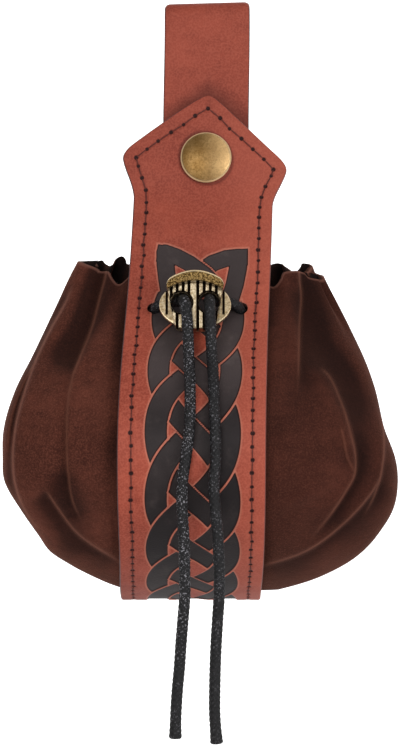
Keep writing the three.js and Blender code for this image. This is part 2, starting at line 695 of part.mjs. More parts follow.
// A cord as a tube along its route
function cordTube(name, points, steps) {
  const curve = new THREE.CatmullRomCurve3(points, false, 'centripetal');
  curve.arcLengthDivisions = 600;
  const section = new THREE.Shape();
  const sides = 8;
  for (let i = 0; i < sides; i += 1) {
    const angle = (i / sides) * Math.PI * 2;
    const x = (cordDiameter / 2) * Math.cos(angle);
    const y = (cordDiameter / 2) * Math.sin(angle);
    if (i === 0) section.moveTo(x, y);
    else section.lineTo(x, y);
  }
  section.closePath();
  const geometry = new THREE.ExtrudeGeometry(section, { steps, extrudePath: curve, bevelEnabled: false });
  return piece(name, geometryOf(solidOf(geometry)), waxedCord);
}

// Held stretch: out of the bead's back, in through the panel and the bag, round the inside
function makeHem() {
  const entries = leftAndRight.map((sign, i) => {
    const { point, out } = holePlaces[i];
    const inBead = (forward) => {
      const place = beadMiddle.clone().addScaledVector(beadForward, forward);
      place.x += (sign * beadHoleSpacing) / 2;
      place.z += 1;
      return place;
    };
    const beside = (height, inwards) => {
      const place = point.clone().addScaledVector(out, height);
      place.x -= sign * inwards;
      return place;
    };
    const inwards = [beside(3.4, 4.4), beside(1.2, 0.5), beside(-1.2, 0), beside(-4.2, 0), beside(-7.5, 0)];
    return [inBead(0.5), inBead(-0.9), ...inwards];
  });
  const level = -holePlaces[0].point.z + hemInset * 0.55;
  const ring = [];
  const count = 26;
  for (let i = 0; i <= count; i += 1) {
    const turn = 0.9 - (0.8 * i) / count;
    ring.push(ringPlace(turn, -level));
  }
  return cordTube('drawstring_hem', [...entries[0], ...ring, ...entries[1].reverse()], 66);
}

// Place inside the gathers at a height, behind the deepest pleat
function ringPlace(turn, z) {
  const down = (-z - mouthDrop) / bagFall;
  const angle = turn * 2 * Math.PI;
  const column = Math.sin(angle) < 0 ? 'left' : 'right';
  const half = bagHalfWidth * fromTable(bagGirth, 'down', column, down) - hemInset;
  const front = yAtHeight(skins[0].front, z) + hemInset;
  const back = bagBack - hemInset;
  const middle = (front + back) / 2;
  const along = middle - ((back - front) / 2) * Math.cos(angle);
  return new THREE.Vector3(bagMiddle + half * Math.sin(angle), along, z);
}

const pouch = new THREE.Group();
pouch.add(makeStrap(), makePanel(), makeBag(), makeCap(), makeStud(), makeBead(), makeHem());
const route = (points) => points.map((point) => new THREE.Vector3(...point));
pouch.add(cordTube('drawstring_left', route(leftRoute), 34));
pouch.add(cordTube('drawstring_right', route(rightRoute), 34));

export default pouch;
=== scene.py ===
# A medieval belt pouch: leather belt strap and front, suede bag, brass snap, bronze bead, waxed cord.
# Shapes are worked out in millimetres and put into Blender in metres.
import math
import bpy
import numpy as np
from mathutils import Matrix, Vector


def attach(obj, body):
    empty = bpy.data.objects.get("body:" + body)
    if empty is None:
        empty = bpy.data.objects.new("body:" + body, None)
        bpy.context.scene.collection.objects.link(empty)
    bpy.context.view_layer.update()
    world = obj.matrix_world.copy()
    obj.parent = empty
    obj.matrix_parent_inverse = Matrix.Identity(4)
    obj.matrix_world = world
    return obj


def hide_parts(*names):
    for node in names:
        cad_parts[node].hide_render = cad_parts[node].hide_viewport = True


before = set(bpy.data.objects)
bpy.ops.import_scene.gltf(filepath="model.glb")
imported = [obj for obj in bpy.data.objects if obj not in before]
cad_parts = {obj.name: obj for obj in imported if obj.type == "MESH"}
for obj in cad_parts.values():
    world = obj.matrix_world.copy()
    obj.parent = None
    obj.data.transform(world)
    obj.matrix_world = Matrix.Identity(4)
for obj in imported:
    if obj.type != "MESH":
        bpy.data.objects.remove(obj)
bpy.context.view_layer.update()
mm = 0.001
print("frame loaded")


# The camera stands level, 700 mm in front of the head of the panel
view = {"place": (-2.0, -715.75, -121.4), "lens": 101.34, "sensor": 36}


def makeCamera():
    data = bpy.data.cameras.new("camera")
    data.lens = view["lens"]
    data.sensor_width = view["sensor"]
    data.clip_start = 0.05
    camera = bpy.data.objects.new("camera", data)
    bpy.context.scene.collection.objects.link(camera)
    camera.location = [value * mm for value in view["place"]]
    camera.rotation_euler = (math.radians(90), 0, 0)
    bpy.context.scene.camera = camera


makeCamera()
print("camera placed")


# Shapes

def unit(vectors):
    # vectors divided by their lengths
    return vectors / np.maximum(np.linalg.norm(vectors, axis=-1, keepdims=True), 1e-9)


def ease(value):
    # smooth step: three squares less two cubes of the value held between 0 and 1
    share = np.clip(value, 0, 1)
    return share * share * (3 - 2 * share)


def bump(distance, width):
    # half a cosine wave over the middle, nothing past the width
    return np.where(np.abs(distance) < width, 0.5 + 0.5 * np.cos(np.pi * distance / width), 0)


def softMin(a, b, rounding):
    # the smaller value, less a square of how close the two are
    share = np.maximum(rounding - np.abs(a - b), 0) / rounding
    return np.minimum(a, b) - share * share * rounding / 4


def cubic(share, start, end, leaving, reaching):
    # a cubic from start to end, with its slopes there
    square = share ** 2
    cube = share ** 3
    level = (2 * cube - 3 * square + 1) * start + (3 * square - 2 * cube) * end
    return level + (cube - 2 * square + share) * leaving + (cube - square) * reaching


def fromTable(rows, place):
    # cubics through rows of place and value, each slope the rise between a row's neighbours
    places, values = np.asarray(rows, float).T
    low = np.maximum(np.arange(len(rows)) - 1, 0)
    high = np.minimum(np.arange(len(rows)) + 1, len(rows) - 1)
    slopes = (values[high] - values[low]) / (places[high] - places[low])
    row = np.clip(np.searchsorted(places, place) - 1, 0, len(rows) - 2)
    span = places[row + 1] - places[row]
    share = np.clip((place - places[row]) / span, 0, 1)
    return cubic(share, values[row], values[row + 1], slopes[row] * span, slopes[row + 1] * span)


class SmoothLine:
    # A line through points, asked by its length: cubics with slopes set by the square roots of the
    # gaps between the points, sampled finely. Past either end it goes straight on.
    def __init__(self, points, fine=80):
        points = np.asarray(points, float)
        whole = np.concatenate([2 * points[:1] - points[1:2], points, 2 * points[-1:] - points[-2:-1]])
        before, start, end, after = whole[:-3], whole[1:-2], whole[2:-1], whole[3:]
        gapIn = np.sqrt(np.linalg.norm(start - before, axis=1))[:, None]
        gap = np.sqrt(np.linalg.norm(end - start, axis=1))[:, None]
        gapOut = np.sqrt(np.linalg.norm(after - end, axis=1))[:, None]
        leaving = ((start - before) / gapIn - (end - before) / (gapIn + gap) + (end - start) / gap) * gap
        reaching = ((end - start) / gap - (after - start) / (gap + gapOut) + (after - end) / gapOut) * gap
        share = (np.arange(fine) / fine)[None, :, None]
        places = cubic(share, *(rows[:, None] for rows in (start, end, leaving, reaching)))
        self.places = np.concatenate([places.reshape(-1, 3), points[-1:]])
        steps = np.linalg.norm(np.diff(self.places, axis=0), axis=1)
        self.lengths = np.concatenate([[0], np.cumsum(steps)])
        self.length = self.lengths[-1]
        self.heading = unit(np.gradient(self.places, self.lengths, axis=0))

    def at(self, length):
        length = np.asarray(length, float)
        inside = np.clip(length, 0, self.length)
        places = [np.interp(inside, self.lengths, self.places[:, i]) for i in range(3)]
        heading = unit(np.stack([np.interp(inside, self.lengths, self.heading[:, i]) for i in range(3)], -1))
        return np.stack(places, -1) + heading * (length - inside)[..., None], heading


def outwards(points, faces):
    # faces turned round when the volume under them comes out negative
    volume = 0
    for rows in faces:
        for i in range(1, rows.shape[1] - 1):
            a, b, c = points[rows[:, 0]], points[rows[:, i]], points[rows[:, i + 1]]
            volume += np.einsum("ij,ij->", a, np.cross(b, c))
    return faces if volume > 0 else [rows[:, ::-1] for rows in faces]


def ringShell(rings):
    # closed surface through rings of points, each end closed onto its middle
    rows, columns = rings.shape[:2]
    number = np.arange(rows * columns).reshape(rows, columns)
    right = np.roll(number, -1, axis=1)
    first = np.full(columns, rows * columns)
    points = np.concatenate([rings.reshape(-1, 3), rings[0].mean(0)[None], rings[-1].mean(0)[None]])
    faces = [
        np.stack([number[:-1], right[:-1], right[1:], number[1:]], -1).reshape(-1, 4),
        np.stack([right[0], number[0], first], -1),
        np.stack([number[-1], right[-1], first + 1], -1),
    ]
    return points, outwards(points, faces)


def withEnds(rows, ends=0):
    # a value for each point of a shell: those of its rings, then those of its two closing middles
    return np.concatenate([np.ravel(rows), [ends, ends]])


def circleAt(angle, side, other):
    # places on a circle of radius 1: cosine times one direction plus sine times the other
    return np.cos(angle)[:, None] * side + np.sin(angle)[:, None] * other


def together(shapes):
    # several shapes as one, their point numbers moved on
    points = []
    faces = []
    count = 0
    for places, rows in shapes:
        points.append(places)
        faces.extend(part + count for part in rows)
        count += len(places)
    return np.concatenate(points), faces


def putPiece(name, shape, finish, values=None, sharpAngle=None):
    # a mesh object from points in millimetres, with one number for each point in each named value
    points, faces = shape
    mesh = bpy.data.meshes.new(name)
    rows = [row for part in faces for row in part.tolist()]
    mesh.from_pydata((points * mm).tolist(), [], rows)
    mesh.polygons.foreach_set("use_smooth", np.ones(len(mesh.polygons), dtype=bool))
    for key, numbers in (values or {}).items():
        attribute = mesh.attributes.new(key, "FLOAT", "POINT")
        attribute.data.foreach_set("value", np.asarray(numbers, dtype=np.float32).ravel())
    if sharpAngle:
        mesh.set_sharp_from_angle(angle=math.radians(sharpAngle))
    mesh.materials.append(finish)
    piece = bpy.data.objects.new(name, mesh)
    bpy.context.scene.collection.objects.link(piece)
    return piece


def cutWith(piece, cutters):
    # each cutter taken out of the piece, which keeps its own values
    for cutter in cutters:
        change = piece.modifiers.new("cut", "BOOLEAN")
        change.operation = "DIFFERENCE"
        change.solver = "MANIFOLD"
        change.object = cutter
    graph = bpy.context.evaluated_depsgraph_get()
    mesh = bpy.data.meshes.new_from_object(piece.evaluated_get(graph))
    piece.modifiers.clear()
    piece.data = mesh
    for cutter in cutters:
        bpy.data.objects.remove(cutter)


def rod(start, heading, length, radius, sides=48):
    # a plain round bar for cutting holes
    heading = unit(heading)
    side = unit(np.cross(heading, (1.0, 0.13, 0.07)))
    circle = radius * circleAt(np.arange(sides) * 2 * np.pi / sides, side, np.cross(heading, side))
    return ringShell(np.stack([start + circle, start + heading * length + circle]))


# Shader arithmetic

class Number:
    # One output in a material. Sums, differences and products of it add Math nodes.
    def __init__(self, finish, socket):
        self.finish = finish
        self.socket = socket

    def math(self, operation, first, second):
        return self.finish.add("ShaderNodeMath", {"operation": operation}, {0: first, 1: second})

    def __add__(self, other):
        return self.math("ADD", self, other)

    def __radd__(self, other):
        return self.math("ADD", other, self)

    def __sub__(self, other):
        return self.math("SUBTRACT", self, other)

    def __rsub__(self, other):
        return self.math("SUBTRACT", other, self)

    def __mul__(self, other):
        return self.math("MULTIPLY", self, other)

    def __rmul__(self, other):
        return self.math("MULTIPLY", other, self)

    def between(self, low, high):
        # 0 at low, 1 at high, smooth in between
        settings = {"interpolation_type": "SMOOTHSTEP"}
        return self.finish.add("ShaderNodeMapRange", settings, {0: self, 1: low, 2: high, 3: 0.0, 4: 1.0})


class Finish:
    # A material and the ways to add nodes to it
    def __init__(self, name, constants):
        self.material = bpy.data.materials.new(name)
        self.material.use_nodes = True
        self.tree = self.material.node_tree
        self.tree.nodes.clear()
        self.shader = self.tree.nodes.new("ShaderNodeBsdfPrincipled")
        output = self.tree.nodes.new("ShaderNodeOutputMaterial")
        self.tree.links.new(self.shader.outputs[0], output.inputs["Surface"])
        for key, value in constants.items():
            self.shader.inputs[key].default_value = value
        where = self.tree.nodes.new("ShaderNodeTexCoord")
        self.place = Number(self, where.outputs["Object"])

    def add(self, kind, settings, inputs, output=0):
        # one node: its settings first, then its sockets by name or number
        node = self.tree.nodes.new(kind)
        for key, value in settings.items():
            setattr(node, key, value)
        for key, value in inputs.items():
            self.join(value, node.inputs[key])
        return Number(self, node.outputs[output])

    def join(self, value, socket):
        if isinstance(value, Number):
            self.tree.links.new(value.socket, socket)
        else:
            socket.default_value = value

    def give(self, **sockets):
        # links into the shader, with the spaces left out of the socket names
        for key, value in sockets.items():
            name = "".join(" " + letter if letter.isupper() else letter for letter in key).strip()
            self.join(value, self.shader.inputs[name])

    def value(self, name):
        return self.add("ShaderNodeAttribute", {"attribute_name": name}, {}, output=2)

    def axis(self, number):
        # the place on the object: 0 to the right, 1 inwards, 2 upwards
        return self.add("ShaderNodeSeparateXYZ", {}, {"Vector": self.place}, output=number)

    def mix(self, factor, first, second):
        return self.add("ShaderNodeMix", {"data_type": "RGBA"}, {0: factor, 6: first, 7: second}, output=2)

    def layered(self, base, layers):
        # tints laid over a base one after the other, each by its own factor
        for factor, tint in layers:
            base = self.mix(factor, base, tint)
        return base

    def noise(self, scale, detail=3.0, roughness=0.55, place=None):
        sockets = {"Vector": place or self.place, "Scale": scale, "Detail": detail, "Roughness": roughness}
        return self.add("ShaderNodeTexNoise", {}, sockets)

    def cells(self, scale):
        return self.add("ShaderNodeTexVoronoi", {}, {"Vector": self.place, "Scale": scale})

    def stretched(self, scale):
        # the place on the piece, scaled by three numbers
        return self.add("ShaderNodeMapping", {}, {"Vector": self.place, "Scale": scale})

    def raised(self, height, distance, strength):
        return self.add("ShaderNodeBump", {}, {"Height": height, "Distance": distance, "Strength": strength})


def colour(red, green, blue):
    # screen colour of 0 to 255 as the linear colour that the shader works in
    values = np.array([red, green, blue]) / 255
    linear = np.where(values > 0.04045, ((values + 0.055) / 1.055) ** 2.4, values / 12.92)
    return (*linear.tolist(), 1.0)


# Cords

cord = {
    "diameter": 3.5,
    "crown": 3.64,
    "around": 40,
    "step": 0.3,
    "strands": 6,
    "pitch": 5.2,
    "relief": 0.2,
    "swell": 0.13,
    "swellReach": 3.2,
    "endRounding": 0.8,
    # how strong the painted glints are on each cord
    "flecks": {"left": 1.0, "right": 0.4, "hem": 0.4},
    "fadeFrom": 105,
    "fadeOver": 25,
    "fade": 0.7,
    "left": [
        (-7.4, -42.8, -97.9), (-7.35, -45.3, -98), (-7, -48.4, -98.7), (-6.5, -50.9, -100.8),
        (-6.1, -52, -104), (-5.8, -52.5, -109), (-5.6, -53.7, -114.8), (-5.25, -58.1, -122.2),
        (-5.05, -62.5, -129.8), (-5.2, -65.7, -137.2), (-6.3, -67.1, -147), (-7.5, -67.2, -155.7),
        (-7.5, -67.1, -164.3), (-6.95, -67, -173), (-6.75, -67, -181.7), (-6.7, -67, -190.2),
        (-7.25, -67, -197.4), (-7.85, -67, -204.8), (-8.35, -67, -212.2), (-9, -67, -219.3),
        (-9.45, -67, -226.8), (-9.65, -67, -234.6),
    ],
    "right": [
        (1, -42.8, -97.9), (1, -45.3, -98), (1.05, -48.4, -98.7), (1.1, -50.9, -100.8),
        (1.2, -52, -104), (1.4, -52.5, -109), (1.7, -53.7, -114.8), (2.15, -58.1, -122.2),
        (2.35, -62.5, -129.8), (2.65, -65.7, -137.2), (2.85, -67.1, -147), (2.3, -67.2, -155.7),
        (2.85, -67.1, -164.3), (3.55, -67, -173), (3.9, -67, -181.7), (3.9, -67, -190.2),
        (3.45, -67, -197.4), (3, -67, -204.8), (2.7, -67, -212.2), (2.55, -67, -219.3),
        (2.55, -67, -226.8), (3.2, -67, -236.2),
    ],
}


def cordFinish():
    finish = Finish("waxed_cord", {"Specular IOR Level": 0.32})
    braid = finish.value("braid")
    fleck = finish.noise(1900, 2.0)
    patchy = finish.noise(150, 2.0).between(0.25, 0.6)
    # painted highlight: glints on the strand crowns
    paintedLight = (braid * fleck.between(0.5, 0.66) * (0.3 + patchy * 0.7)).between(0.28, 0.72)
    tint = finish.mix(finish.noise(260, 2.0), colour(12, 11, 13), colour(27, 25, 27))
    # painted shade between the strands
    dark = finish.mix(braid.between(0.1, 0.75), colour(4, 4, 5), tint)
    finish.give(BaseColor=finish.mix(paintedLight * finish.value("flecks") * 0.8, dark, colour(146, 144, 150)))
    finish.give(Roughness=0.62 - paintedLight * 0.2)
    finish.give(Normal=finish.raised(braid + finish.noise(2600, 2.0) * 0.4, 0.00025, 0.7))
    return finish.material


cordMaterial = cordFinish()


def braidHeight(angle, run):
    # two families of strands wound opposite ways; where their squares alternate, one rises over the other
    turned = angle / (2 * np.pi) * cord["strands"]
    wound = run / cord["pitch"] * cord["strands"] / 2
    one = turned + wound
    two = turned - wound
    over = (np.floor(one) + np.floor(two)) % 2 == 0
    acrossOne = 1 - (2 * (one % 1) - 1) ** 2
    acrossTwo = 1 - (2 * (two % 1) - 1) ** 2
    crown = np.where(over, acrossTwo, acrossOne)
    along = np.where(over, acrossOne, acrossTwo)
    return np.sqrt(crown) * (0.55 + 0.45 * np.sqrt(along))


def makeCord(name, points, flecks, upwards, freeEnd):
    # a tube along a smooth line: the line plus the radius times cosine and sine of the turn. The braid
    # raises the radius, and a cut end swells a little and closes round. The flecks of painted glints fade
    # down the cord
    line = SmoothLine(points)
    rows = int(line.length / cord["step"])
    run = np.linspace(0, line.length, rows)
    places, heading = line.at(run)
    side = unit(np.cross(heading, upwards))[:, None]
    other = np.cross(side, heading[:, None])
    angle = np.arange(cord["around"]) * 2 * np.pi / cord["around"]
    height = braidHeight(angle[None], run[:, None])
    fromEnd = line.length - run if freeEnd else np.full(rows, np.inf)
    swell = cord["swell"] * np.exp(-(fromEnd / cord["swellReach"]) ** 2)
    rounded = np.sqrt(1 - (1 - np.clip(fromEnd / cord["endRounding"], 0, 1)) ** 2)
    radius = (cord["crown"] / 2 * (1 + swell)[:, None] - cord["relief"] * (1 - height)) * rounded[:, None]
    rings = places[:, None] + circleAt(angle, side, other) * radius[..., None]
    fewer = flecks * (1 - cord["fade"] * ease((run - cord["fadeFrom"]) / cord["fadeOver"]))
    values = {"braid": withEnds(height), "flecks": withEnds(np.repeat(fewer, cord["around"]))}
    piece = putPiece(name, ringShell(rings), cordMaterial, values)
    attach(piece, "root")
    return piece, line


for side in ("left", "right"):
    name = "drawstring" + side.capitalize()
    piece, line = makeCord(name, cord[side], cord["flecks"][side], (1.0, 0, 0), True)
    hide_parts("drawstring_" + side)
    places, heading = line.at(np.linspace(0, line.length, 120))
    path = (places * mm).tolist()
    print("cord", side, round(line.length, 1), "mm")


# Front panel: head, front, turn under the bag and tail, one strip bent along a side view line

panel = {
    "leather": 2.4,
    "clearance": 0.3,
    "loopGap": 4.5,
    "loopLean": 6.25,
    "snapDrop": 49.7,
    "snapGap": 3.5,
    "capDiameter": 17,
    "width": 46.3,
    "shoulderWidth": 55.2,
    "shoulderRounding": 3.4,
    "flare": 0.35,
    "flareAt": 0.69,
    "flareReach": 0.17,
    "tipWidth": 5,
    "tipRise": 21.2,
    "slantLength": 21.2,
    "headShear": 0.035,
    "shearFrom": 24,
    "shearOver": 26,
    "waistLength": 15.4,
    "corner": 5,
    "bellyReach": 49,
    "pouchDrop": 198.1,
    "turnRadius": 8,
    "tailTopDrop": 105,
    "driftReach": 4.6,
    "edgeRounding": 0.75,
    "rowStep": 0.56,
    "columns": 113,
    "side": [
        (0.11, 0.062), (0.167, 0.143), (0.285, 0.3), (0.36, 0.46), (0.485, 0.79), (0.584, 0.965),
        (0.66, 1), (0.756, 0.924), (0.861, 0.653), (0.938, 0.306), (0.975, 0.06),
    ],
    "drift": [
        (0, 0.22), (0.03, 0.07), (0.07, -0.08), (0.17, -0.36), (0.29, -0.76), (0.4, -1), (0.55, -1.01),
        (0.69, -1.1), (0.85, -0.6), (1, -0.4),
    ],
    "cordDent": 0.7,
    "dentReach": 6.5,
    "ringGroove": 0.15,
}
leanAngle = math.radians(panel["loopLean"])
lean = math.tan(leanAngle)
foldOuter = panel["loopGap"] / 2 + panel["leather"]
foldMiddle = -panel["loopGap"] / 2
headFace = -foldOuter - lean * (panel["snapDrop"] + foldMiddle) - panel["snapGap"] - panel["leather"]
tailFace = panel["loopGap"] / 2 - panel["clearance"]


def panelOutline():
    # straight head, the rows of the table, a quarter turn under the bag and a straight tail
    fall = panel["pouchDrop"] - panel["snapDrop"]
    tipDown = panel["tipRise"] * math.cos(leanAngle)
    underCap = panel["capDiameter"] / 2 + 1
    points = []
    for up in (tipDown, tipDown / 2, 0, -underCap / 2, -underCap):
        points.append((0, headFace + lean * up, up - panel["snapDrop"]))
    for down, out in panel["side"]:
        points.append((0, headFace - panel["bellyReach"] * out, -panel["snapDrop"] - fall * down))
    radius = panel["turnRadius"]
    for angle in np.radians((0, 22.5, 45, 67.5, 90)):
        across = tailFace - radius + radius * math.sin(angle)
        points.append((0, across, radius - panel["pouchDrop"] - radius * math.cos(angle)))
    turnTop = panel["pouchDrop"] - radius
    for share in (0.08, 0.5, 1):
        points.append((0, tailFace, (turnTop - panel["tailTopDrop"]) * share - turnTop))
    return SmoothLine(points)


panelLine = panelOutline()


def driftAt(length):
    return panel["driftReach"] * fromTable(panel["drift"], length / panelLine.length)


def sideOf(heading):
    # outward direction of a side view line: its heading turned a quarter
    return np.stack([0 * heading[..., 1], heading[..., 2], -heading[..., 1]], -1)


def onPanel(across, length, depth=0.0):
    # place on the panel: its line drifts sideways, so a row turns with it and shears a little at the
    # head. The depth is below the outer face
    turn = np.arctan(driftAt(length + 0.5) - driftAt(length - 0.5))
    shear = panel["headShear"] * (1 - ease((length - panel["shearFrom"]) / panel["shearOver"]))
    place, heading = panelLine.at(length - across * (np.sin(turn) - shear))
    out = sideOf(heading)
    place = place - out * np.asarray(depth)[..., None]
    place[..., 0] = driftAt(length) + across * np.cos(turn)
    return place, out


def endRows(end, corner):
    # lengths close together over the rounded corners at the end of a strip
    return end - corner * (1 - np.cos(np.radians(np.arange(80, -1, -10))))


def cornerLoss(length, end, corner):
    # what the rounded corners at the end of a strip take off its half width: quarter circles
    into = np.clip(corner - (end - length), 0, corner)
    return corner - np.sqrt(np.maximum(corner ** 2 - into ** 2, 0))


def panelHalf(length):
    # half width: the tip an arm of a hyperbola, then rounded shoulders, a cosine down to the plain
    # width, a slight flare at the turn under the bag, and quarter circles at the tail
    slope = (panel["shoulderWidth"] - panel["tipWidth"]) / 2 / panel["slantLength"]
    blunt = panel["tipWidth"] / 2 / slope
    run = np.maximum(length, 0)
    slant = slope * np.sqrt(run * (run + 2 * blunt) + 0.02)
    past = np.clip((length - panel["slantLength"]) / panel["waistLength"], 0, 1)
    wider = (panel["shoulderWidth"] - panel["width"]) * (0.5 + 0.5 * np.cos(past * np.pi))
    wide = softMin(slant, (panel["width"] + wider) / 2, panel["shoulderRounding"])
    wide = wide + panel["flare"] * bump(length / panelLine.length - panel["flareAt"], panel["flareReach"])
    return wide - cornerLoss(length, panelLine.length, panel["corner"])


# The plait pressed into the front: four strands, each a wave from side to side. At the top, ears and
# arms drawn as listed lines take over from the waves
plait = {
    "first": 57.9,
    "pitch": 22.4,
    "swing": 11.5,
    "half": 3.45,
    "earHalf": 2.95,
    "gap": 0.62,
    "middle": 0.35,
    "flatten": 0.2,
    "shear": 0.04,
    "lag": 4.0,
    "lagFrom": 60,
    "lagOver": 16,
    "waveStart": 71,
    "earEnd": 74,
    "end": 231,
    "sink": 0.42,
    "leftEar": [(-9.1, 74), (-10.8, 66), (-11.7, 60.5), (-12, 56.1)],
    "leftArm": [(-12, 56.1), (-8.4, 57.2), (-4.0, 59.3), (0.9, 62.7), (5.2, 67.1)],
    "rightEar": [(9.6, 74), (11.3, 65.7), (12.1, 59.7), (12.2, 55.6)],
    "rightArm": [(12.2, 55.6), (8.3, 56.4), (3.9, 58.5), (-0.4, 62.4), (-4.4, 67.3)],
    "leftTip": [(-14.6, 53.2), (-7.6, 54.5), (-14.9, 59.8)],
    "rightTip": [(15.1, 52.3), (8.2, 53.3), (15.3, 58.5)],
    "paintedShadeBehindBead": (8.5, 5),
}


def lagAt(length):
    # how far the waves start late, fading down the panel
    return plait["lag"] * (1 - ease((length - plait["lagFrom"]) / plait["lagOver"]))


def strandAt(length, number):
    # middle of a strand across the panel: a sine with flattened ends, a quarter of its wave from the next
    phase = (length - lagAt(length) - plait["first"]) / plait["pitch"] * np.pi / 2 + number * np.pi / 2
    wave = np.sin(phase)
    return plait["swing"] * wave * (1 + plait["flatten"] * (1 - wave ** 2))


def nearLine(across, length, points):
    # distance from each place to a line of points, and whether the nearest stretch goes down to the right
    points = np.asarray(points, float)
    start = points[:-1]
    step = points[1:] - points[:-1]
    away = np.stack([across, length], -1)[..., None, :] - start
    share = np.clip((away * step).sum(-1) / (step ** 2).sum(-1), 0, 1)
    gap = np.linalg.norm(away - share[..., None] * step, axis=-1)
    nearest = gap.argmin(-1)
    falling = (step[:, 0] * step[:, 1] > 0)[nearest]
    return np.take_along_axis(gap, nearest[..., None], -1)[..., 0], falling


def wedge(across, length, corners):
    # how far inside a triangle each place is
    corners = np.asarray(corners, float)
    middle = corners.mean(0)
    inside = np.full(np.shape(across), 99.0)
    for a, b in zip(corners, np.roll(corners, -1, axis=0)):
        normal = np.array([b[1] - a[1], a[0] - b[0]])
        normal = normal / np.linalg.norm(normal)
        normal = normal * np.sign(((middle - a) * normal).sum())
        inside = np.minimum(inside, (across - a[0]) * normal[0] + (length - a[1]) * normal[1])
    return inside


def plaitInside(across, length):
    # how far inside a strand each place is, less than nothing on the bare leather. Near the middle of
    # the panel the strands that go down to the right are above, near its sides the others
    across = across - plait["middle"]
    length = length - plait["shear"] * across
    row = (length - plait["first"]) / plait["pitch"] - lagAt(length) / plait["pitch"]
    toMiddle = np.hypot(across, (row - np.round(row)) * plait["pitch"])
    sideRow = row - 0.5
    toSide = np.hypot(np.abs(across) - plait["swing"] * 0.78, (sideRow - np.round(sideRow)) * plait["pitch"])
    middleRule = toMiddle < toSide
    gaps = []
    overs = []
    for number in range(4):
        slope = strandAt(length + 0.25, number) - strandAt(length - 0.25, number)
        gap = np.abs(across - strandAt(length, number)) / np.sqrt(1 + (slope * 2) ** 2)
        gaps.append(gap + np.where(length < plait["waveStart"], 99, 0))
        overs.append((slope > 0) == middleRule)
    top = length < plait["earEnd"]
    for key in ("leftEar", "rightEar", "leftArm", "rightArm"):
        gap = np.full(length.shape, 99.0)
        over = np.zeros(length.shape, bool)
        gap[top], falling = nearLine(across[top], length[top], plait[key])
        over[top] = falling == middleRule[top]
        gaps.append(gap + plait["half"] - plait["earHalf"])
        overs.append(over)
    depths = plait["half"] - np.stack(gaps)
    overs = np.stack(overs)
    above = np.where(overs, depths, -99).max(0)
    below = np.where(overs, -99, depths).max(0)
    inside = np.maximum(above, np.minimum(below, -above - plait["gap"]))
    for key in ("leftTip", "rightTip"):
        inside = np.maximum(inside, wedge(across, length, plait[key]))
    # painted shade: a patch of ink behind the bead, dark through its holes
    wide, high = plait["paintedShadeBehindBead"]
    away = np.hypot(across / wide, (length - lengthAtDrop(bead["footDrop"]) + 1.5) / high)
    inside = np.maximum(inside, high * (1 - away))
    return np.minimum(inside, plait["end"] - length)


stitch = {
    "inset": 4.3,
    "pitch": [(0, 5.0), (22, 5.0), (34, 4.0), (120, 4.0), (150, 4.4), (400, 4.4)],
    "hole": 0.6,
    "holeDent": 0.4,
    "thread": 0.46,
    "lift": 0.05,
    "sink": 0.75,
    "threadRows": 7,
    "threadSides": 6,
    "groove": 0.12,
    "grooveReach": 1.3,
    "astray": 0.13,
    "holeVariation": 0.1,
    "tailStop": 8,
    "box": (10.5, -126.5, -108.5),
    "boxPitch": 4.2,
}
farAway = 9.0


def seamLine(sign):
    # the outline moved in by the inset, from where that leaves the middle, and holes along it at the
    # table's pitch, each a little astray. Gives the holes' places and then the line's
    length = np.linspace(0.5, panelLine.length - stitch["tailStop"], 4000)
    half = panelHalf(length)
    slope = np.gradient(half, length)
    steep = np.sqrt(1 + slope ** 2)
    across = half - stitch["inset"] / steep
    along = length + stitch["inset"] * slope / steep
    keep = across > 0.1
    across = np.concatenate([[0.02], across[keep]])
    along = np.concatenate([[along[keep][0] - 0.1], along[keep]])
    order = np.concatenate([[True], np.diff(along) > 0])
    across, along = across[order], along[order]
    run = np.concatenate([[0], np.cumsum(np.hypot(np.diff(across), np.diff(along)))])
    pitch = np.asarray(stitch["pitch"])
    done = np.cumsum(np.gradient(run) / np.interp(run, pitch[:, 0], pitch[:, 1]))
    marks = np.interp(np.arange(0, done[-1]), done - done[0], run)
    astray = np.random.default_rng(5 + sign).normal(0, stitch["astray"], (2, len(marks)))
    astray[:, 0] = 0
    holeAcross = sign * np.interp(marks, run, across) + astray[0]
    holeAlong = np.interp(marks, run, along) + astray[1]
    return holeAcross, holeAlong, across, along


seams = {sign: seamLine(sign) for sign in (-1, 1)}


def nearSeam(across, length):
    # distance to the line of stitches, and to the nearest hole of it
    line = np.full(across.shape, farAway)
    hole = np.full(across.shape, farAway)
    for sign, (holeAcross, holeAlong, lineAcross, lineAlong) in seams.items():
        mine = (across * sign > -1) & (np.abs(across) > panelHalf(length) - farAway)
        a = np.abs(across[mine])
        b = length[mine]
        steps = np.abs(np.gradient(lineAcross, lineAlong))
        there = np.interp(b, lineAlong, lineAcross)
        steep = np.sqrt(1 + np.interp(b, lineAlong, steps) ** 2)
        line[mine] = np.minimum(line[mine], np.abs(a - there) / steep)
        number = np.clip(np.searchsorted(holeAlong, b), 1, len(holeAlong) - 1)
        for k in (number - 1, number):
            gap = np.hypot(across[mine] - holeAcross[k], b - holeAlong[k])
            size = 1 + stitch["holeVariation"] * np.sin(k * 2.4)
            hole[mine] = np.minimum(hole[mine], gap / size)
    line[length > panelLine.length - stitch["tailStop"] + 0.5] = farAway
    return line, hole


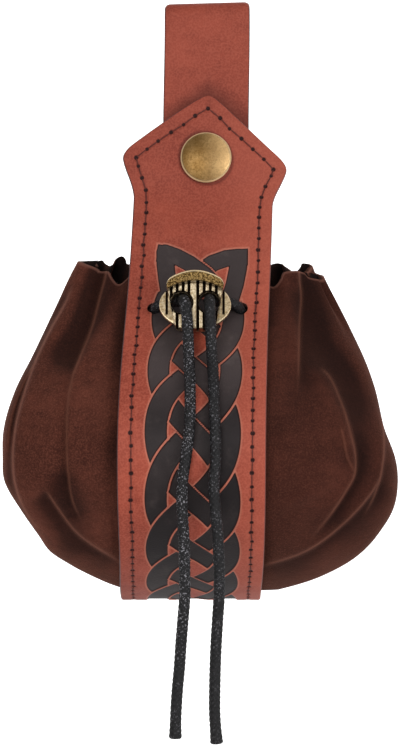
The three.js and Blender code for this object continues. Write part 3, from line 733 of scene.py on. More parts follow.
def leatherFinish(name, pressed):
    # cloudy, grained leather, with painted shade at the head and the foot, and grey on its cut sides. The
    # pressed one has the ink of the plait, a painted highlight on its lip, painted shade at its border and in
    # the stitch holes, a painted shadow ring round the cap, painted light to the right and darker seam lines;
    # the other a painted shadow of the panel's head
    finish = Finish(name, {"Specular IOR Level": 0.18})
    cloud = finish.noise(22, 4.0, 0.6)
    mottle = finish.noise(170, 4.0, 0.65)
    grain = finish.cells(1500)
    pores = finish.noise(1500, 3.0, 0.6)
    upwards = finish.axis(2)
    edge = finish.mix(finish.noise(900, 3.0), colour(70, 44, 46), colour(104, 78, 78))
    base = finish.mix(cloud.between(0.3, 0.7), colour(143, 62, 46), colour(168, 79, 60))
    layers = [
        (mottle.between(0.35, 0.75) * 0.55, colour(122, 50, 38)),
        (grain.between(0.35, 0.75) * 0.35, colour(190, 100, 79)),
        # painted shade: darker towards the head and towards the foot
        (upwards.between(-0.12, -0.06) * 0.22, colour(96, 38, 28)),
        ((1 - upwards.between(-0.197, -0.175)) * 0.25, colour(96, 38, 28)),
        (finish.value("rim").between(0.4, 0.75), edge),
    ]
    if pressed:
        inside = finish.value("plait")
        ink = inside.between(-0.08, 0.08)
        faded = upwards.between(-0.138, -0.117) * (1 - upwards.between(-0.118, -0.1) * 0.45)
        black = finish.mix(cloud.between(0.35, 0.7), colour(30, 24, 25), colour(50, 42, 42))
        layers += [
            # painted light: lighter towards the right
            (finish.axis(0).between(-0.004, 0.018) * 0.3, colour(190, 98, 77)),
            (finish.value("seam").between(0.9, 0.1) * 0.25, colour(96, 34, 24)),
            # painted shade in the stitch holes, and the painted shadow ring round the cap
            (finish.value("hole").between(0.9, 0.55), colour(38, 9, 8)),
            (finish.value("ring") * 0.6, colour(74, 26, 20)),
            # painted highlight along the plait's lip
            (inside.between(-0.75, -0.25) * (1 - ink) * 0.35, colour(214, 140, 116)),
            (ink, finish.layered(black, [
                (faded * 0.6, colour(84, 73, 72)),
                (mottle.between(0.5, 0.8) * (0.18 + faded * 0.2), colour(100, 88, 85)),
            ])),
            # painted shade at the plait's border
            (inside.between(-0.12, 0.1) * (1 - inside.between(0.15, 0.5)) * 0.85, colour(30, 10, 10)),
        ]
    else:
        # painted shadow of the panel's head on the strap
        layers.append((finish.value("shade") * 0.5, colour(66, 24, 19)))
    finish.give(BaseColor=finish.layered(base, layers), Roughness=0.46 + mottle * 0.16)
    finish.give(Normal=finish.raised(pores * 0.5 + grain * 0.5, 0.00012, 0.55))
    return finish.material


panelMaterial = leatherFinish("panel_leather", True)
strapMaterial = leatherFinish("strap_leather", False)


def stripRing(half, thick, columns, rounding):
    # sections across a strip: outer face, rounded edge, side, inner face and back round. Gives each
    # place's distance across, depth and share of a side
    sine = np.sin(np.radians((22.5, 45, 67.5, 90)))
    cosine = np.cos(np.radians((22.5, 45, 67.5, 90)))
    face = np.linspace(-1, 1, columns)
    inner = np.linspace(1, -1, 9)
    one = np.ones(4)
    sections = (
        [face, one, one, inner, -one, -one],
        [np.ones(columns), 1 - sine, 1 - sine[::-1], np.ones(9), 1 - sine, 1 - sine[::-1]],
        [0 * face, 1 - cosine, cosine[::-1] - 1, 0 * inner, cosine - 1, 1 - cosine[::-1]],
        [0 * face, 0 * one, one, 0 * inner + 1, one, 0 * one],
        [0 * face, sine, sine[::-1], 0 * inner, sine, sine[::-1]],
    )
    across, inset, depth, low, rim = (np.concatenate(row) for row in sections)
    radius = np.minimum(rounding, half[:, None] * 0.6)
    places = across * (half[:, None] - radius * inset)
    return places, low * thick + depth * radius, np.broadcast_to(rim, places.shape)


def makePanel():
    # the strip's face sinks at the plait, the seam, its holes, the ring round the cap and the cord's holes
    end = panelLine.length
    columns = panel["columns"]
    tip = np.array([0, 0.04, 0.14, 0.3, 0.5, 0.8, 1.2, 1.7])
    middle = np.arange(2.2, end - panel["corner"] - 0.3, panel["rowStep"])
    length = np.concatenate([tip, middle, endRows(end, panel["corner"])])
    places, depths, rim = stripRing(panelHalf(length), panel["leather"], columns, panel["edgeRounding"])
    run = np.broadcast_to(length[:, None], places.shape)
    face = places[:, :columns]
    faceRun = run[:, :columns]
    inside = plaitInside(face, faceRun)
    line, hole = nearSeam(face, faceRun)
    sink = plait["sink"] * ease((inside + 0.3) / 0.6)
    sink = sink + stitch["groove"] * bump(line, stitch["grooveReach"])
    sink = sink + stitch["holeDent"] * bump(hole, stitch["hole"] * 1.7)
    # a shallow groove round the cap, which the finish also paints dark as the cap's shadow
    capAway = np.hypot(face + driftAt(faceRun), faceRun - lengthAtDrop(panel["snapDrop"]))
    ring = bump(capAway - panel["capDiameter"] / 2 - 0.3, 0.75)
    sink = sink + panel["ringGroove"] * ring
    for across, along in cordHoles.values():
        dent = np.hypot((face - across) * 0.8, (faceRun - along) * 1.35)
        sink = sink + panel["cordDent"] * bump(dent, panel["dentReach"])
    depths[:, :columns] += sink
    rings, out = onPanel(places, run, depths)
    values = {"rim": withEnds(rim, 1.0)}
    for key, numbers, beyond in (
        ("plait", inside, -farAway), ("seam", line, farAway), ("hole", hole, farAway), ("ring", ring, 0.0),
    ):
        whole = np.full(places.shape, beyond)
        whole[:, :columns] = numbers
        values[key] = withEnds(whole, beyond)
    return putPiece("frontPanel", ringShell(rings), panelMaterial, values)


# The bead, and the cord's holes through the panel and the bag

bead = {
    "footDrop": 102.3,
    "stand": 5.2,
    "tilt": 10,
    "side": -0.6,
    "flangeWidth": 23,
    "flangeHeight": 15.6,
    "flangeThick": 1.8,
    "flangeSink": 0.8,
    "flangeRounding": 0.45,
    "flangeSlices": 110,
    "flangeRows": 24,
    "drumWidth": 18.2,
    "drumRounding": 0.5,
    "drumSlices": 60,
    "drumRows": 90,
    "upper": [
        (0, 9.7), (0.15, 9.63), (0.3, 9.4), (0.45, 9.02), (0.6, 8.5), (0.7, 8.1), (0.8, 7.6), (0.86, 7.3),
        (0.9, 7), (0.94, 6.55), (0.97, 6), (0.99, 5.5), (1, 5.05),
    ],
    "lower": [
        (0, -9.4), (0.3, -9.4), (0.5, -9.3), (0.6, -9.1), (0.68, -8.6), (0.72, -8.1), (0.75, -7),
        (0.78, -5.3), (0.81, -3.6), (0.85, -1.6), (0.9, 0.5), (0.94, 2.2), (0.97, 3.3), (1, 5),
    ],
    "drumDepth": 4.2,
    "hole": 6.8,
    "holeRise": -0.9,
    "holeSpacing": 8.9,
    "browHeight": 3.6,
    "browStep": 0.5,
    "archFall": 0.035,
    "ribDepth": 0.55,
    "grooves": (-7.6, -5.7, -3.8, -1.95, 0.85, 2.9, 4.85, 6.75),
    "grooveHalf": 0.52,
    "lip": 0.25,
    "undercut": 0.35,
}
hem = {
    "holeDrop": 100.1,
    "holeSpacing": 28.2,
    "hole": 4.4,
    "inset": 11,
    "sinkShare": 0.55,
    "turnFrom": 0.9,
    "turnTo": 0.1,
    "turnPoints": 27,
    "entry": [(2.4, 4.6), (0.8, 1.5), (-1.2, 0.4), (-4.2, 0.1), (-7.5, 0)],
}


def lengthAtDrop(drop):
    # length along the front of the panel at which it reaches a drop below the origin
    length = np.linspace(0, panelLine.length * 0.6, 8000)
    return float(np.interp(drop, -panelLine.at(length)[0][:, 2], length))


holeLength = lengthAtDrop(hem["holeDrop"])
cordHoles = {sign: (sign * hem["holeSpacing"] / 2, holeLength) for sign in (-1, 1)}


def holePlace(sign):
    place, heading = panelLine.at(holeLength)
    place = place + np.array([driftAt(np.array(holeLength)) + sign * hem["holeSpacing"] / 2, 0, 0])
    return place, sideOf(heading)


def cordCutters(above, length, material):
    # round bars through the cord's two holes, from a height above the panel's face
    cutters = []
    for sign in (-1, 1):
        place, out = holePlace(sign)
        bar = rod(place + out * above, -out, length, hem["hole"] / 2)
        cutters.append(putPiece("holeCutter", bar, material))
    return cutters


frontPanel = makePanel()
snapOut = np.array([0, -math.cos(leanAngle), math.sin(leanAngle)])
snapPlace = np.array([0, headFace, -panel["snapDrop"]])
shankCutter = putPiece("shankCutter", rod(snapPlace + snapOut * 3, -snapOut, 8, 2.3), panelMaterial)
cutWith(frontPanel, cordCutters(3, 9, panelMaterial) + [shankCutter])
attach(frontPanel, "root")
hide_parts("front_panel")
print("front panel made,", len(frontPanel.data.polygons), "faces")


def threadFinish():
    finish = Finish("thread", {"Roughness": 0.8})
    base = finish.mix(finish.noise(900, 2.0), colour(74, 26, 19), colour(110, 44, 34))
    finish.give(BaseColor=base)
    finish.give(Normal=finish.raised(finish.noise(3800, 2.0), 0.0002, 0.8))
    return finish.material


threadMaterial = threadFinish()


def threadBits(starts, ends, outs):
    # short threads: a straight line from start to end, lifted in the middle and sunk at both ends by
    # the fourth power of the way from the middle, with a round section that closes at the ends
    share = np.linspace(-1, 1, stitch["threadRows"])
    angle = np.arange(stitch["threadSides"]) * 2 * np.pi / stitch["threadSides"]
    side = np.cross(unit(ends - starts), outs)[:, None]
    middle = starts[:, None] + (ends - starts)[:, None] * ((share + 1) / 2)[None, :, None]
    rise = stitch["lift"] - (stitch["lift"] + stitch["sink"]) * share ** 4
    middle = middle + outs[:, None] * rise[None, :, None]
    radius = stitch["thread"] / 2 * np.sqrt(1.04 - share ** 8)
    turn = circleAt(angle, side, outs[:, None])
    rings = middle[:, :, None] + turn[:, None] * radius[None, :, None, None]
    return together([ringShell(ring) for ring in rings])


def makeStitches():
    # one thread from each hole to the next: the two seams, then the box that holds strap and tail
    rows = []
    for across, along, lineAcross, lineAlong in seams.values():
        rows.append(onPanel(across, along, np.full(len(across), stitch["groove"])))
    side, foot, top = stitch["box"]
    corners = np.array([(-side, foot), (side, foot), (side, top), (-side, top), (-side, foot)])
    sides = np.linalg.norm(np.diff(corners, axis=0), axis=1)
    marks = np.linspace(0, sides.sum(), int(sides.sum() / stitch["boxPitch"]) + 1)
    run = np.concatenate([[0], np.cumsum(sides)])
    across, up = (np.interp(marks, run, corners[:, i]) for i in (0, 1))
    box = np.stack([across, foldOuter + 0 * marks, up], -1)
    rows.append((box, np.tile((0.0, 1.0, 0.0), (len(marks), 1))))
    starts = np.concatenate([places[:-1] for places, out in rows])
    ends = np.concatenate([places[1:] for places, out in rows])
    outs = np.concatenate([unit(out[:-1] + out[1:]) for places, out in rows])
    piece = putPiece("panelStitches", threadBits(starts, ends, outs), threadMaterial)
    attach(piece, "root")


makeStitches()
print("stitches made")


# Belt strap: up the back, over the fold and down behind the head

strap = {
    "width": 28.9,
    "corner": 6,
    "sewnDrop": 130,
    "endReach": 10.5,
    "lift": 2.2,
    "slope": 0.028,
    "shift": 0.45,
    "topFrom": -40,
    "topOver": 36,
    "cornerFrom": 12.2,
    "cornerFall": 0.28125,
    "shadeTip": (0.6, -26.5),
    "shadeSlope": 0.83,
    "rounding": 0.75,
    "rowStep": 0.8,
    "columns": 41,
}


def strapOutline():
    # straight up the back, round the fold and straight down behind the head at its lean
    fold = math.pi - leanAngle
    run = (panel["snapDrop"] + strap["endReach"] + foldMiddle) / math.cos(leanAngle)
    points = [(0, foldOuter, -strap["sewnDrop"] * share) for share in (1, 0.55)]
    points.append((0, foldOuter, foldMiddle - 6))
    for angle in np.radians(np.arange(0, 180 - panel["loopLean"], 15)):
        points.append((0, foldOuter * math.cos(angle), foldMiddle + foldOuter * math.sin(angle)))
    y = foldOuter * math.cos(fold)
    z = foldMiddle + foldOuter * math.sin(fold)
    for share in (0, 0.1, 0.5, 1):
        points.append((0, y - run * share * math.sin(leanAngle), z - run * share * math.cos(leanAngle)))
    return SmoothLine(points)


strapLine = strapOutline()


def makeStrap():
    # in the scene the fold stands a little higher and aslant, with rounded corners, and a painted shadow of
    # the panel's head lies on the strap behind it
    end = strapLine.length
    middle = np.arange(0, end - strap["corner"] - 0.4, strap["rowStep"])
    length = np.concatenate([middle, endRows(end, strap["corner"])])
    half = strap["width"] / 2 - cornerLoss(length, end, strap["corner"])
    places, depths, rim = stripRing(half, panel["leather"], strap["columns"], strap["rounding"])
    spot, heading = strapLine.at(np.broadcast_to(length[:, None], places.shape))
    rings = spot - sideOf(heading) * depths[..., None]
    top = ease((rings[..., 2] - strap["topFrom"]) / strap["topOver"])
    past = np.maximum(np.abs(places) / half[:, None] * 14 - strap["cornerFrom"], 0)
    corner = strap["cornerFall"] * past ** 2
    rings[..., 2] += top ** 4 * (strap["lift"] + strap["slope"] * places - corner)
    rings[..., 0] = places + strap["shift"] * top
    # painted shadow: how far each place lies under the panel's head
    tipAcross, tipUp = strap["shadeTip"]
    behind = tipUp - strap["shadeSlope"] * np.abs(places - tipAcross)
    shade = ease((behind + 8 - rings[..., 2]) / 9) * (spot[..., 1] < 0)
    values = {"rim": withEnds(rim, 1), "shade": withEnds(shade)}
    piece = putPiece("beltStrap", ringShell(rings), strapMaterial, values)
    hole = snapPlace - snapOut * (panel["leather"] + panel["snapGap"] - 1)
    cutter = putPiece("postCutter", rod(hole, -snapOut, panel["leather"] + 2, 2.1), strapMaterial)
    cutWith(piece, [cutter])
    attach(piece, "root")
    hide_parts("belt_strap")


makeStrap()
print("strap made")


# Suede bag: a rounded section at each height between the panel's front and tail, gathered at the
# mouth by pleats, with creases and folds laid on in the front view

bag = {
    "wall": 2,
    "mouthDrop": 82,
    "mouthRake": 6.4,
    "halfWidth": 64.4,
    "middle": -2,
    "pleatDepth": 7,
    "keel": 0.9,
    "around": 520,
    "rows": 150,
    "innerRows": 34,
    "frontCrowding": 0.42,
    "footCrowding": 0.25,
    "mouthSlope": 1.8,
    "wave": 0.4,
    "girth": [
        (0, 0.62, 0.6, 2.3), (0.07, 0.682, 0.65, 2.25), (0.14, 0.737, 0.71, 2.2), (0.22, 0.799, 0.776, 2.2),
        (0.31, 0.869, 0.843, 2.2), (0.4, 0.941, 0.894, 2.2), (0.5, 0.99, 0.93, 2.2),
        (0.59, 0.998, 0.987, 2.2), (0.66, 0.99, 1.002, 2.2), (0.74, 0.914, 0.982, 2.2),
        (0.82, 0.824, 0.905, 2.25), (0.87, 0.767, 0.832, 2.3), (0.91, 0.67, 0.745, 2.4),
        (0.95, 0.548, 0.62, 2.6), (0.975, 0.46, 0.51, 2.8), (1, 0.34, 0.37, 3),
    ],
    # where each pleat starts and ends round the mouth, its half width, depth, the share of the height
    # it runs down, and how far it lowers the rim
    "pleats": [
        (0.0, 0.0, 0.022, 0.5, 0.3, 0.4), (0.088, 0.088, 0.016, 0.3, 0.3, 0.64),
        (0.213, 0.2, 0.02, 0.5, 0.3, 0.1), (0.282, 0.29, 0.022, 0.8, 0.5, 0.1),
        (0.351, 0.352, 0.014, 0.9, 0.5, 0.35), (0.37, 0.375, 0.013, 0.9, 0.45, 0.1),
        (0.41, 0.41, 0.018, 0.8, 0.4, 0), (0.455, 0.455, 0.022, 0.75, 0.35, 0),
        (0.5, 0.5, 0.022, 0.8, 0.35, 0), (0.545, 0.545, 0.022, 0.75, 0.35, 0),
        (0.588, 0.585, 0.013, 0.8, 0.4, 0.2), (0.63, 0.629, 0.013, 0.9, 0.45, 0.35),
        (0.677, 0.675, 0.016, 0.9, 0.55, 0.2), (0.715, 0.71, 0.022, 0.8, 0.5, 0),
        (0.903, 0.903, 0.016, 0.35, 0.4, 0.66),
    ],
    # where a lobe of the far rim stands up, its half width and its height in millimetres
    "lobes": [
        (0.132, 0.027, 1.2), (0.212, 0.057, -1.9), (0.318, 0.026, 1.9), (0.381, 0.018, 0.9),
        (0.43, 0.018, 0.6), (0.478, 0.018, 0.6), (0.522, 0.018, 0.6), (0.575, 0.014, 0.6),
        (0.615, 0.0175, 2.1), (0.652, 0.022, 1), (0.77, 0.09, 1.9),
    ],
    # folds in the front view: height, the raised side (1 to the right of a line that goes down), how far
    # the swell and the hollow reach, and the line's places across and up
    "folds": [
        (3.2, 1, 6, 4, [(-33, -80), (-33.3, -88), (-35.2, -96.3), (-37.4, -106.5), (-41, -117), (-43, -123)]),
        (1.5, 1, 5, 2, [(-39.5, -112), (-43.3, -124.9), (-44.1, -139.9), (-43.5, -155), (-42.2, -163),
                        (-39, -170)]),
        (2.2, 1, 7, 4, [(-44, -90), (-46, -96.8), (-51.5, -107.7), (-55.7, -117.6), (-59.7, -131.4),
                        (-61.7, -143), (-61.6, -155.5), (-58.2, -166.9), (-52, -175)]),
        (1.3, -1, 2, 2, [(-55, -117), (-59.5, -126), (-62.5, -136), (-64, -150)]),
        (2.6, 1, 8, 6, [(-51.5, -157.5), (-48.6, -162.6), (-41.5, -173), (-34.8, -178.1), (-25, -184.4)]),
        (3.0, -1, 5, 6, [(30.8, -80), (31.1, -90.3), (31.6, -96.3), (30.8, -104.4), (29.9, -116.4),
                         (29, -130)]),
        (1.2, -1, 5, 4, [(36, -119), (39.6, -122.3), (42.7, -129.2), (44.9, -136.1), (47.5, -148.3)]),
        (3, -1, 8, 5, [(45.5, -138), (47.3, -147), (47, -153.6), (43.9, -159.3), (40.5, -164.9), (32, -177)]),
        (0.6, 1, 2, 2, [(42, -138), (42.8, -141.3), (44.3, -148.7), (47.5, -154)]),
        (2.2, -1, 5, 5, [(56, -154), (52.8, -159.5), (44.7, -169.1), (32.6, -178.8), (22, -183), (12, -185)]),
        (1.2, -1, 4, 3, [(56.5, -130), (57.4, -141), (56.6, -150.5), (54.5, -159.5), (50, -169)]),
    ],
    # broad hollows in the front view: depth, reach and places; less than nothing where it swells
    "hollows": [
        (3.2, 5.5, [(-34.8, -84), (-35.2, -92), (-37, -99), (-39.3, -106), (-42.5, -111), (-46.5, -115.5),
                    (-52, -121)]),
        (3.2, 5.5, [(32.3, -90), (33.1, -103), (36.5, -112), (41.3, -118.6), (45.2, -125), (47.3, -133),
                    (50, -146)]),
        (1.8, 4.5, [(-26.5, -78), (-26.4, -100), (-26.6, -122)]),
        (1.1, 4, [(-26.6, -112), (-27, -140), (-27, -178)]),
        (1.8, 5, [(19.5, -84), (19, -98), (19, -112)]),
        (1.4, 7, [(-48, -150), (-44, -168), (-34, -180)]),
        (1, 5, [(-44.5, -152), (-42.5, -163), (-41, -168)]),
        (0.9, 6, [(32, -122), (31, -131), (28, -140)]),
        (-1, 14, [(-54, -130), (-55, -145), (-50, -160)]),
        (-1, 13, [(-38, -125), (-36, -140)]),
        (-1, 12, [(28, -150), (34, -162)]),
    ],
}


def insidePanel(depth):
    # side view of the space inside the panel, at a depth behind its outer face: its front from the top
    # down to the lowest place, and its back from the top down
    place, heading = panelLine.at(np.linspace(0, panelLine.length, 2000))
    place = place - sideOf(heading) * depth
    lowest = place[:, 2].argmin()
    return place[:lowest + 1, 1:], place[lowest:][::-1, 1:]


frontInside, backInside = insidePanel(panel["leather"] + panel["clearance"])
bagBack = tailFace - panel["leather"] - panel["clearance"]
bagFall = panel["pouchDrop"] - panel["leather"] - panel["clearance"] - bag["mouthDrop"]


def frontAt(z):
    # how far out the inside of the panel's front is at a height
    return np.interp(-z, -frontInside[:, 1], frontInside[:, 0])


def bagHalf(down, sine):
    # half width of the bag at a share of its height, on the left where the sine of the turn is negative
    girth = np.asarray(bag["girth"])
    wide = np.where(sine < 0, fromTable(girth[:, [0, 1]], down), fromTable(girth[:, [0, 2]], down))
    return bag["halfWidth"] * wide


def turnBetween(a, b):
    # how far apart two shares of a turn are, at most half a turn
    apart = a - b
    return apart - np.round(apart)


def rimDrop(turn):
    # drop of the mouth's rim: raked down to the front and the right, dipped by pleats, raised by lobes
    front = 0.5 + 0.5 * np.cos(turn * 2 * np.pi)
    sideways = np.maximum(bag["mouthSlope"] * np.sin(turn * 2 * np.pi), 0)
    dips = 0
    for at, to, wide, deep, fade, dip in bag["pleats"]:
        dips = dips + dip * bump(turnBetween(turn, at), wide * 1.6)
    lobes = 0
    for at, wide, high in bag["lobes"]:
        lobes = lobes + high * np.sqrt(np.maximum(1 - (turnBetween(turn, at) / wide) ** 2, 0))
    return bag["mouthDrop"] + bag["mouthRake"] * (0.2 + 0.8 * front + dips) + sideways - lobes


def besideLine(x, z, places):
    # distance from each place to a smooth line, less than nothing to the left of a line that goes down,
    # and the share of the line's length there
    line = SmoothLine([(a, 0, b) for a, b in places], 5)
    start = line.places[:-1][:, [0, 2]]
    step = np.diff(line.places[:, [0, 2]], axis=0)
    away = np.stack([x, z], -1)[..., None, :] - start
    share = np.clip((away * step).sum(-1) / (step ** 2).sum(-1), 0, 1)
    off = away - share[..., None] * step
    gap = np.linalg.norm(off, axis=-1)
    nearest = gap.argmin(-1)[..., None]
    cross = step[:, 0] * off[..., 1] - step[:, 1] * off[..., 0]
    run = (np.arange(len(step)) + share) / len(step)
    signed = np.take_along_axis(gap * np.sign(cross), nearest, -1)[..., 0]
    return signed, np.take_along_axis(run, nearest, -1)[..., 0]


def foldRise(x, z):
    # rise of the suede by its folds and hollows, how much painted shade each place gets, and how near a crest
    # it is, for the crests' painted highlight.
    # A fold swells and sinks by an exponential of the distance, with a steep step at its line
    rise = 0 * x
    shade = 0 * x
    crest = 0 * x
    for height, side, over, under, places in bag["folds"]:
        near = (x > min(places)[0] - 25) & (x < max(places)[0] + 25)
        gap, run = besideLine(x[near], z[near], places)
        gap = gap * side
        ends = ease(run / 0.2) * ease((1 - run) / 0.25)
        swell = np.tanh(gap / 0.8) * np.exp(-np.abs(gap) / np.where(gap > 0, over, under)) * ends
        rise[near] += height * swell * 1.25
        # painted shade on the sunken side of a fold
        shade[near] += np.maximum(-swell, 0) * min(height / 2.2, 1.2)
        crest[near] += bump(gap - 0.3, 0.6) * ends
    for depth, reach, places in bag["hollows"]:
        gap, run = besideLine(x, z, places)
        swell = bump(gap, reach * 1.5) * ease(run / 0.2 + 0.35) * ease((1 - run) / 0.3 + 0.1)
        rise -= depth * swell
        # painted shade in a hollow, a little lighter where it swells
        shade += np.maximum(swell * depth / 2.9, -0.2)
    wave = np.sin(0.17 * x + 0.09 * z + 1) * np.sin(0.2 * z - 0.07 * x) + 0.5 * np.sin(0.41 * x - 0.2 * z)
    rise += bag["wave"] * wave
    # painted shade following the gentle waves
    shade += 0.1 - 0.14 * wave
    return rise, shade, crest


def bagPoint(turn, share, inset):
    # section at a height: sine and cosine of the turn raised to a power, between the panel's inside
    # and the bag's back, pushed out or in by the pleats and, in front, by the folds
    floor = frontInside[-1, 1] + bag["keel"] + inset
    top = -rimDrop(turn)
    z = top + (floor - top) * share
    down = np.clip((-z - bag["mouthDrop"]) / bagFall, 0, 1)
    power = 2 / fromTable(np.asarray(bag["girth"])[:, [0, 3]], down)
    sine = np.sin(turn * 2 * np.pi)
    cosine = np.cos(turn * 2 * np.pi)
    half = bagHalf(down, sine)
    front = frontAt(z)
    back = np.minimum(np.interp(-z, -backInside[:, 1], backInside[:, 0]), bagBack)
    back = np.maximum(back, front + 0.1)
    depth = (back - front) / 2
    across = np.sign(sine) * np.abs(sine) ** power
    along = np.sign(cosine) * np.abs(cosine) ** power
    place = np.stack([bag["middle"] + half * across, (front + back) / 2 - depth * along, z], -1)
    outward = unit(np.stack([sine / half, -cosine / depth, 0 * sine], -1))
    rise = 0 * z
    for at, to, wide, deep, fade, dip in bag["pleats"]:
        strength = ease((fade - down) / fade)
        spot = to + turnBetween(at, to) * np.maximum(1 - down / fade, 0)
        rise -= bag["pleatDepth"] * deep * strength * bump(turnBetween(turn, spot), wide * (1 + down))
    folded, shade, crest = foldRise(place[..., 0], z)
    drop = np.linspace(0, panelLine.length * 0.6, 400)
    middleAcross = np.interp(-z, -panelLine.at(drop)[0][:, 2], driftAt(drop))
    clear = ease((np.abs(place[..., 0] - middleAcross) - panel["width"] / 2 - 0.2) / 2.5)
    facing = ease((cosine + 0.3) / 0.4)
    place = place + outward * (rise - np.minimum(inset, depth * 0.45))[..., None]
    place[..., 1] -= facing * (np.maximum(folded, 0) * clear + np.minimum(folded, 0))
    # with the painted shade and the crests' painted highlight, in front only
    return place, facing * shade, facing * crest * clear


def suedeFinish():
    # cloudy suede with brushed streaks and nap, with painted shade to the right, in the folds and on the
    # inside, and the crests worn and painted lighter as highlight
    sheen = {"Sheen Weight": 0.25, "Sheen Roughness": 0.45, "Sheen Tint": colour(190, 120, 95)}
    finish = Finish("dark_suede", {"Roughness": 0.95, "Specular IOR Level": 0.12, **sheen})
    cloud = finish.noise(18, 4.0, 0.6)
    brushed = finish.noise(60, 5.0, 0.7, place=finish.stretched((1.0, 1.0, 2.6)))
    nap = finish.noise(1800, 3.0, 0.7)
    base = finish.mix(cloud.between(0.3, 0.72), colour(64, 32, 24), colour(100, 53, 41))
    finish.give(BaseColor=finish.layered(base, [
        (brushed.between(0.35, 0.72) * 0.6, colour(60, 31, 24)),
        (finish.noise(330, 4.0, 0.7).between(0.42, 0.66) * 0.4, colour(50, 24, 18)),
        (nap.between(0.42, 0.7) * 0.5, colour(122, 70, 54)),
        # painted shade: darker towards the right
        (finish.axis(0).between(-0.06, 0.02) * 0.46, colour(38, 18, 13)),
        # painted shade in the folds and hollows
        (finish.value("shade").between(0.0, 1.0) * 0.75, colour(20, 10, 9)),
        # crests lighter, as wear and painted highlight
        (finish.value("crest") * 0.3, colour(132, 82, 64)),
        (finish.value("cut") * 0.75, colour(126, 84, 72)),
        # the inside painted near black as shade
        (finish.value("inner"), colour(20, 14, 13)),
    ]))
    finish.give(Normal=finish.raised(nap + finish.noise(420, 3.0) * 0.8, 0.00035, 0.5))
    return finish.material


suedeMaterial = suedeFinish()


def makeBag():
    # more columns in front, where the share of a turn grows slower, and more rows near the foot
    even = np.arange(bag["around"]) / bag["around"]
    turn = even - bag["frontCrowding"] * np.sin(even * 2 * np.pi) / (2 * np.pi)
    shares = np.linspace(0, 1, bag["rows"])
    shares = (1 - bag["footCrowding"]) * shares + bag["footCrowding"] * (1 - (1 - shares) ** 2)
    outer, shade, crest = bagPoint(*np.meshgrid(turn, shares), 0)
    inner = bagPoint(*np.meshgrid(turn, np.linspace(0, 1, bag["innerRows"])), bag["wall"])[0]
    rings = np.concatenate([inner[::-1], outer])
    start = bag["innerRows"]
    values = {key: np.zeros(rings.shape[:2]) for key in ("inner", "cut", "shade", "crest")}
    # the inside rows get the painted shade of the inside
    values["inner"][:start] = 1
    values["cut"][start] = 1
    values["shade"][start:] = np.clip(shade, 0, 1)
    values["crest"][start:] = np.clip(crest, 0, 1)
    values = {key: withEnds(rows) for key, rows in values.items()}
    piece = putPiece("pouchBag", ringShell(rings), suedeMaterial, values)
    cutWith(piece, cordCutters(-panel["leather"], bag["pleatDepth"], suedeMaterial))
    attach(piece, "root")
    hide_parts("pouch_bag")


makeBag()
print("bag made")


# Held stretch of the cord: out of the bead's back, in through the panel and the bag, round the inside

beadTilt = math.radians(bead["tilt"])
beadForward = np.array([0, -math.cos(beadTilt), math.sin(beadTilt)])
beadUp = np.array([0, math.sin(beadTilt), math.cos(beadTilt)])


def beadMiddle():
    # place on the panel's face at the bead's drop, moved out by its stand
    length = lengthAtDrop(bead["footDrop"])
    place, heading = panelLine.at(length)
    place = place + np.array([driftAt(np.array(length)) + bead["side"], 0, 0])
    return place + sideOf(heading) * bead["stand"]


beadPlace = beadMiddle()


def hemRoute():
    # the two entries, given as heights above the panel and distances inwards, and between them a part
    # of a turn inside the bag
    entries = {}
    for sign in (-1, 1):
        place, out = holePlace(sign)
        entry = []
        for forward in (0.5, -0.9):
            entry.append(beadPlace + beadForward * forward + np.array([sign * bead["holeSpacing"] / 2, 0, 1]))
        for height, inwards in hem["entry"]:
            entry.append(place + out * height - np.array([sign * inwards, 0, 0]))
        entries[sign] = entry
    level = holePlace(-1)[0][2] - hem["inset"] * hem["sinkShare"]
    angle = np.linspace(hem["turnFrom"], hem["turnTo"], hem["turnPoints"]) * 2 * np.pi
    half = bagHalf((-level - bag["mouthDrop"]) / bagFall, np.sin(angle)) - hem["inset"]
    front = frontAt(level) + hem["inset"]
    back = bagBack - hem["inset"]
    across = bag["middle"] + half * np.sin(angle)
    along = (front + back) / 2 - (back - front) / 2 * np.cos(angle)
    ring = np.stack([across, along, np.full(len(angle), level)], -1)
    return np.concatenate([entries[-1], ring, entries[1][::-1]])


piece, line = makeCord("drawstringHem", hemRoute(), cord["flecks"]["hem"], (0, 0, 1.0), False)
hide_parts("drawstring_hem")
print("hem cord made")


# Snap: domed cap on the head, stud through the strap behind it

snap = {
    "capHeight": 2.3,
    "shank": 3.8,
    "socket": 9.6,
    "socketHeight": 2.2,
    "recess": 0.6,
    "base": 9,
    "baseHeight": 1.2,
    "studFlange": 0.4,
    "stud": 4,
    "post": 3.4,
    "rim": 0.42,
    "sides": 96,
}


def brassFinish():
    # speckled brass, with painted shade on the left, painted light on the right and a painted highlight on
    # the rim
    finish = Finish("antique_brass", {})
    cloud = finish.noise(240, 4.0, 0.65)
    speck = finish.noise(1500, 3.0, 0.7)
    paintedLight = finish.axis(0).between(-0.003, 0.0085)
    rim = finish.value("rim")
    base = finish.mix(cloud.between(0.3, 0.7), colour(148, 112, 66), colour(180, 144, 94))
    base = finish.layered(base, [
        (speck.between(0.44, 0.64) * 0.65, colour(106, 78, 40)),
        # painted shade on the left, painted light on the right
        ((1 - paintedLight) * 0.5, colour(98, 72, 36)),
        (paintedLight * 0.4, colour(226, 190, 138)),
        # painted highlight on the rim
        (rim.between(0.75, 1.0) * 0.8, colour(236, 208, 158)),
    ])
    finish.give(BaseColor=base, Roughness=0.36 + speck * 0.14 - rim * 0.12, Metallic=1.0 - rim * 0.6)
    finish.give(Normal=finish.raised(speck, 0.00008, 0.4))
    return finish.material


brassMaterial = brassFinish()


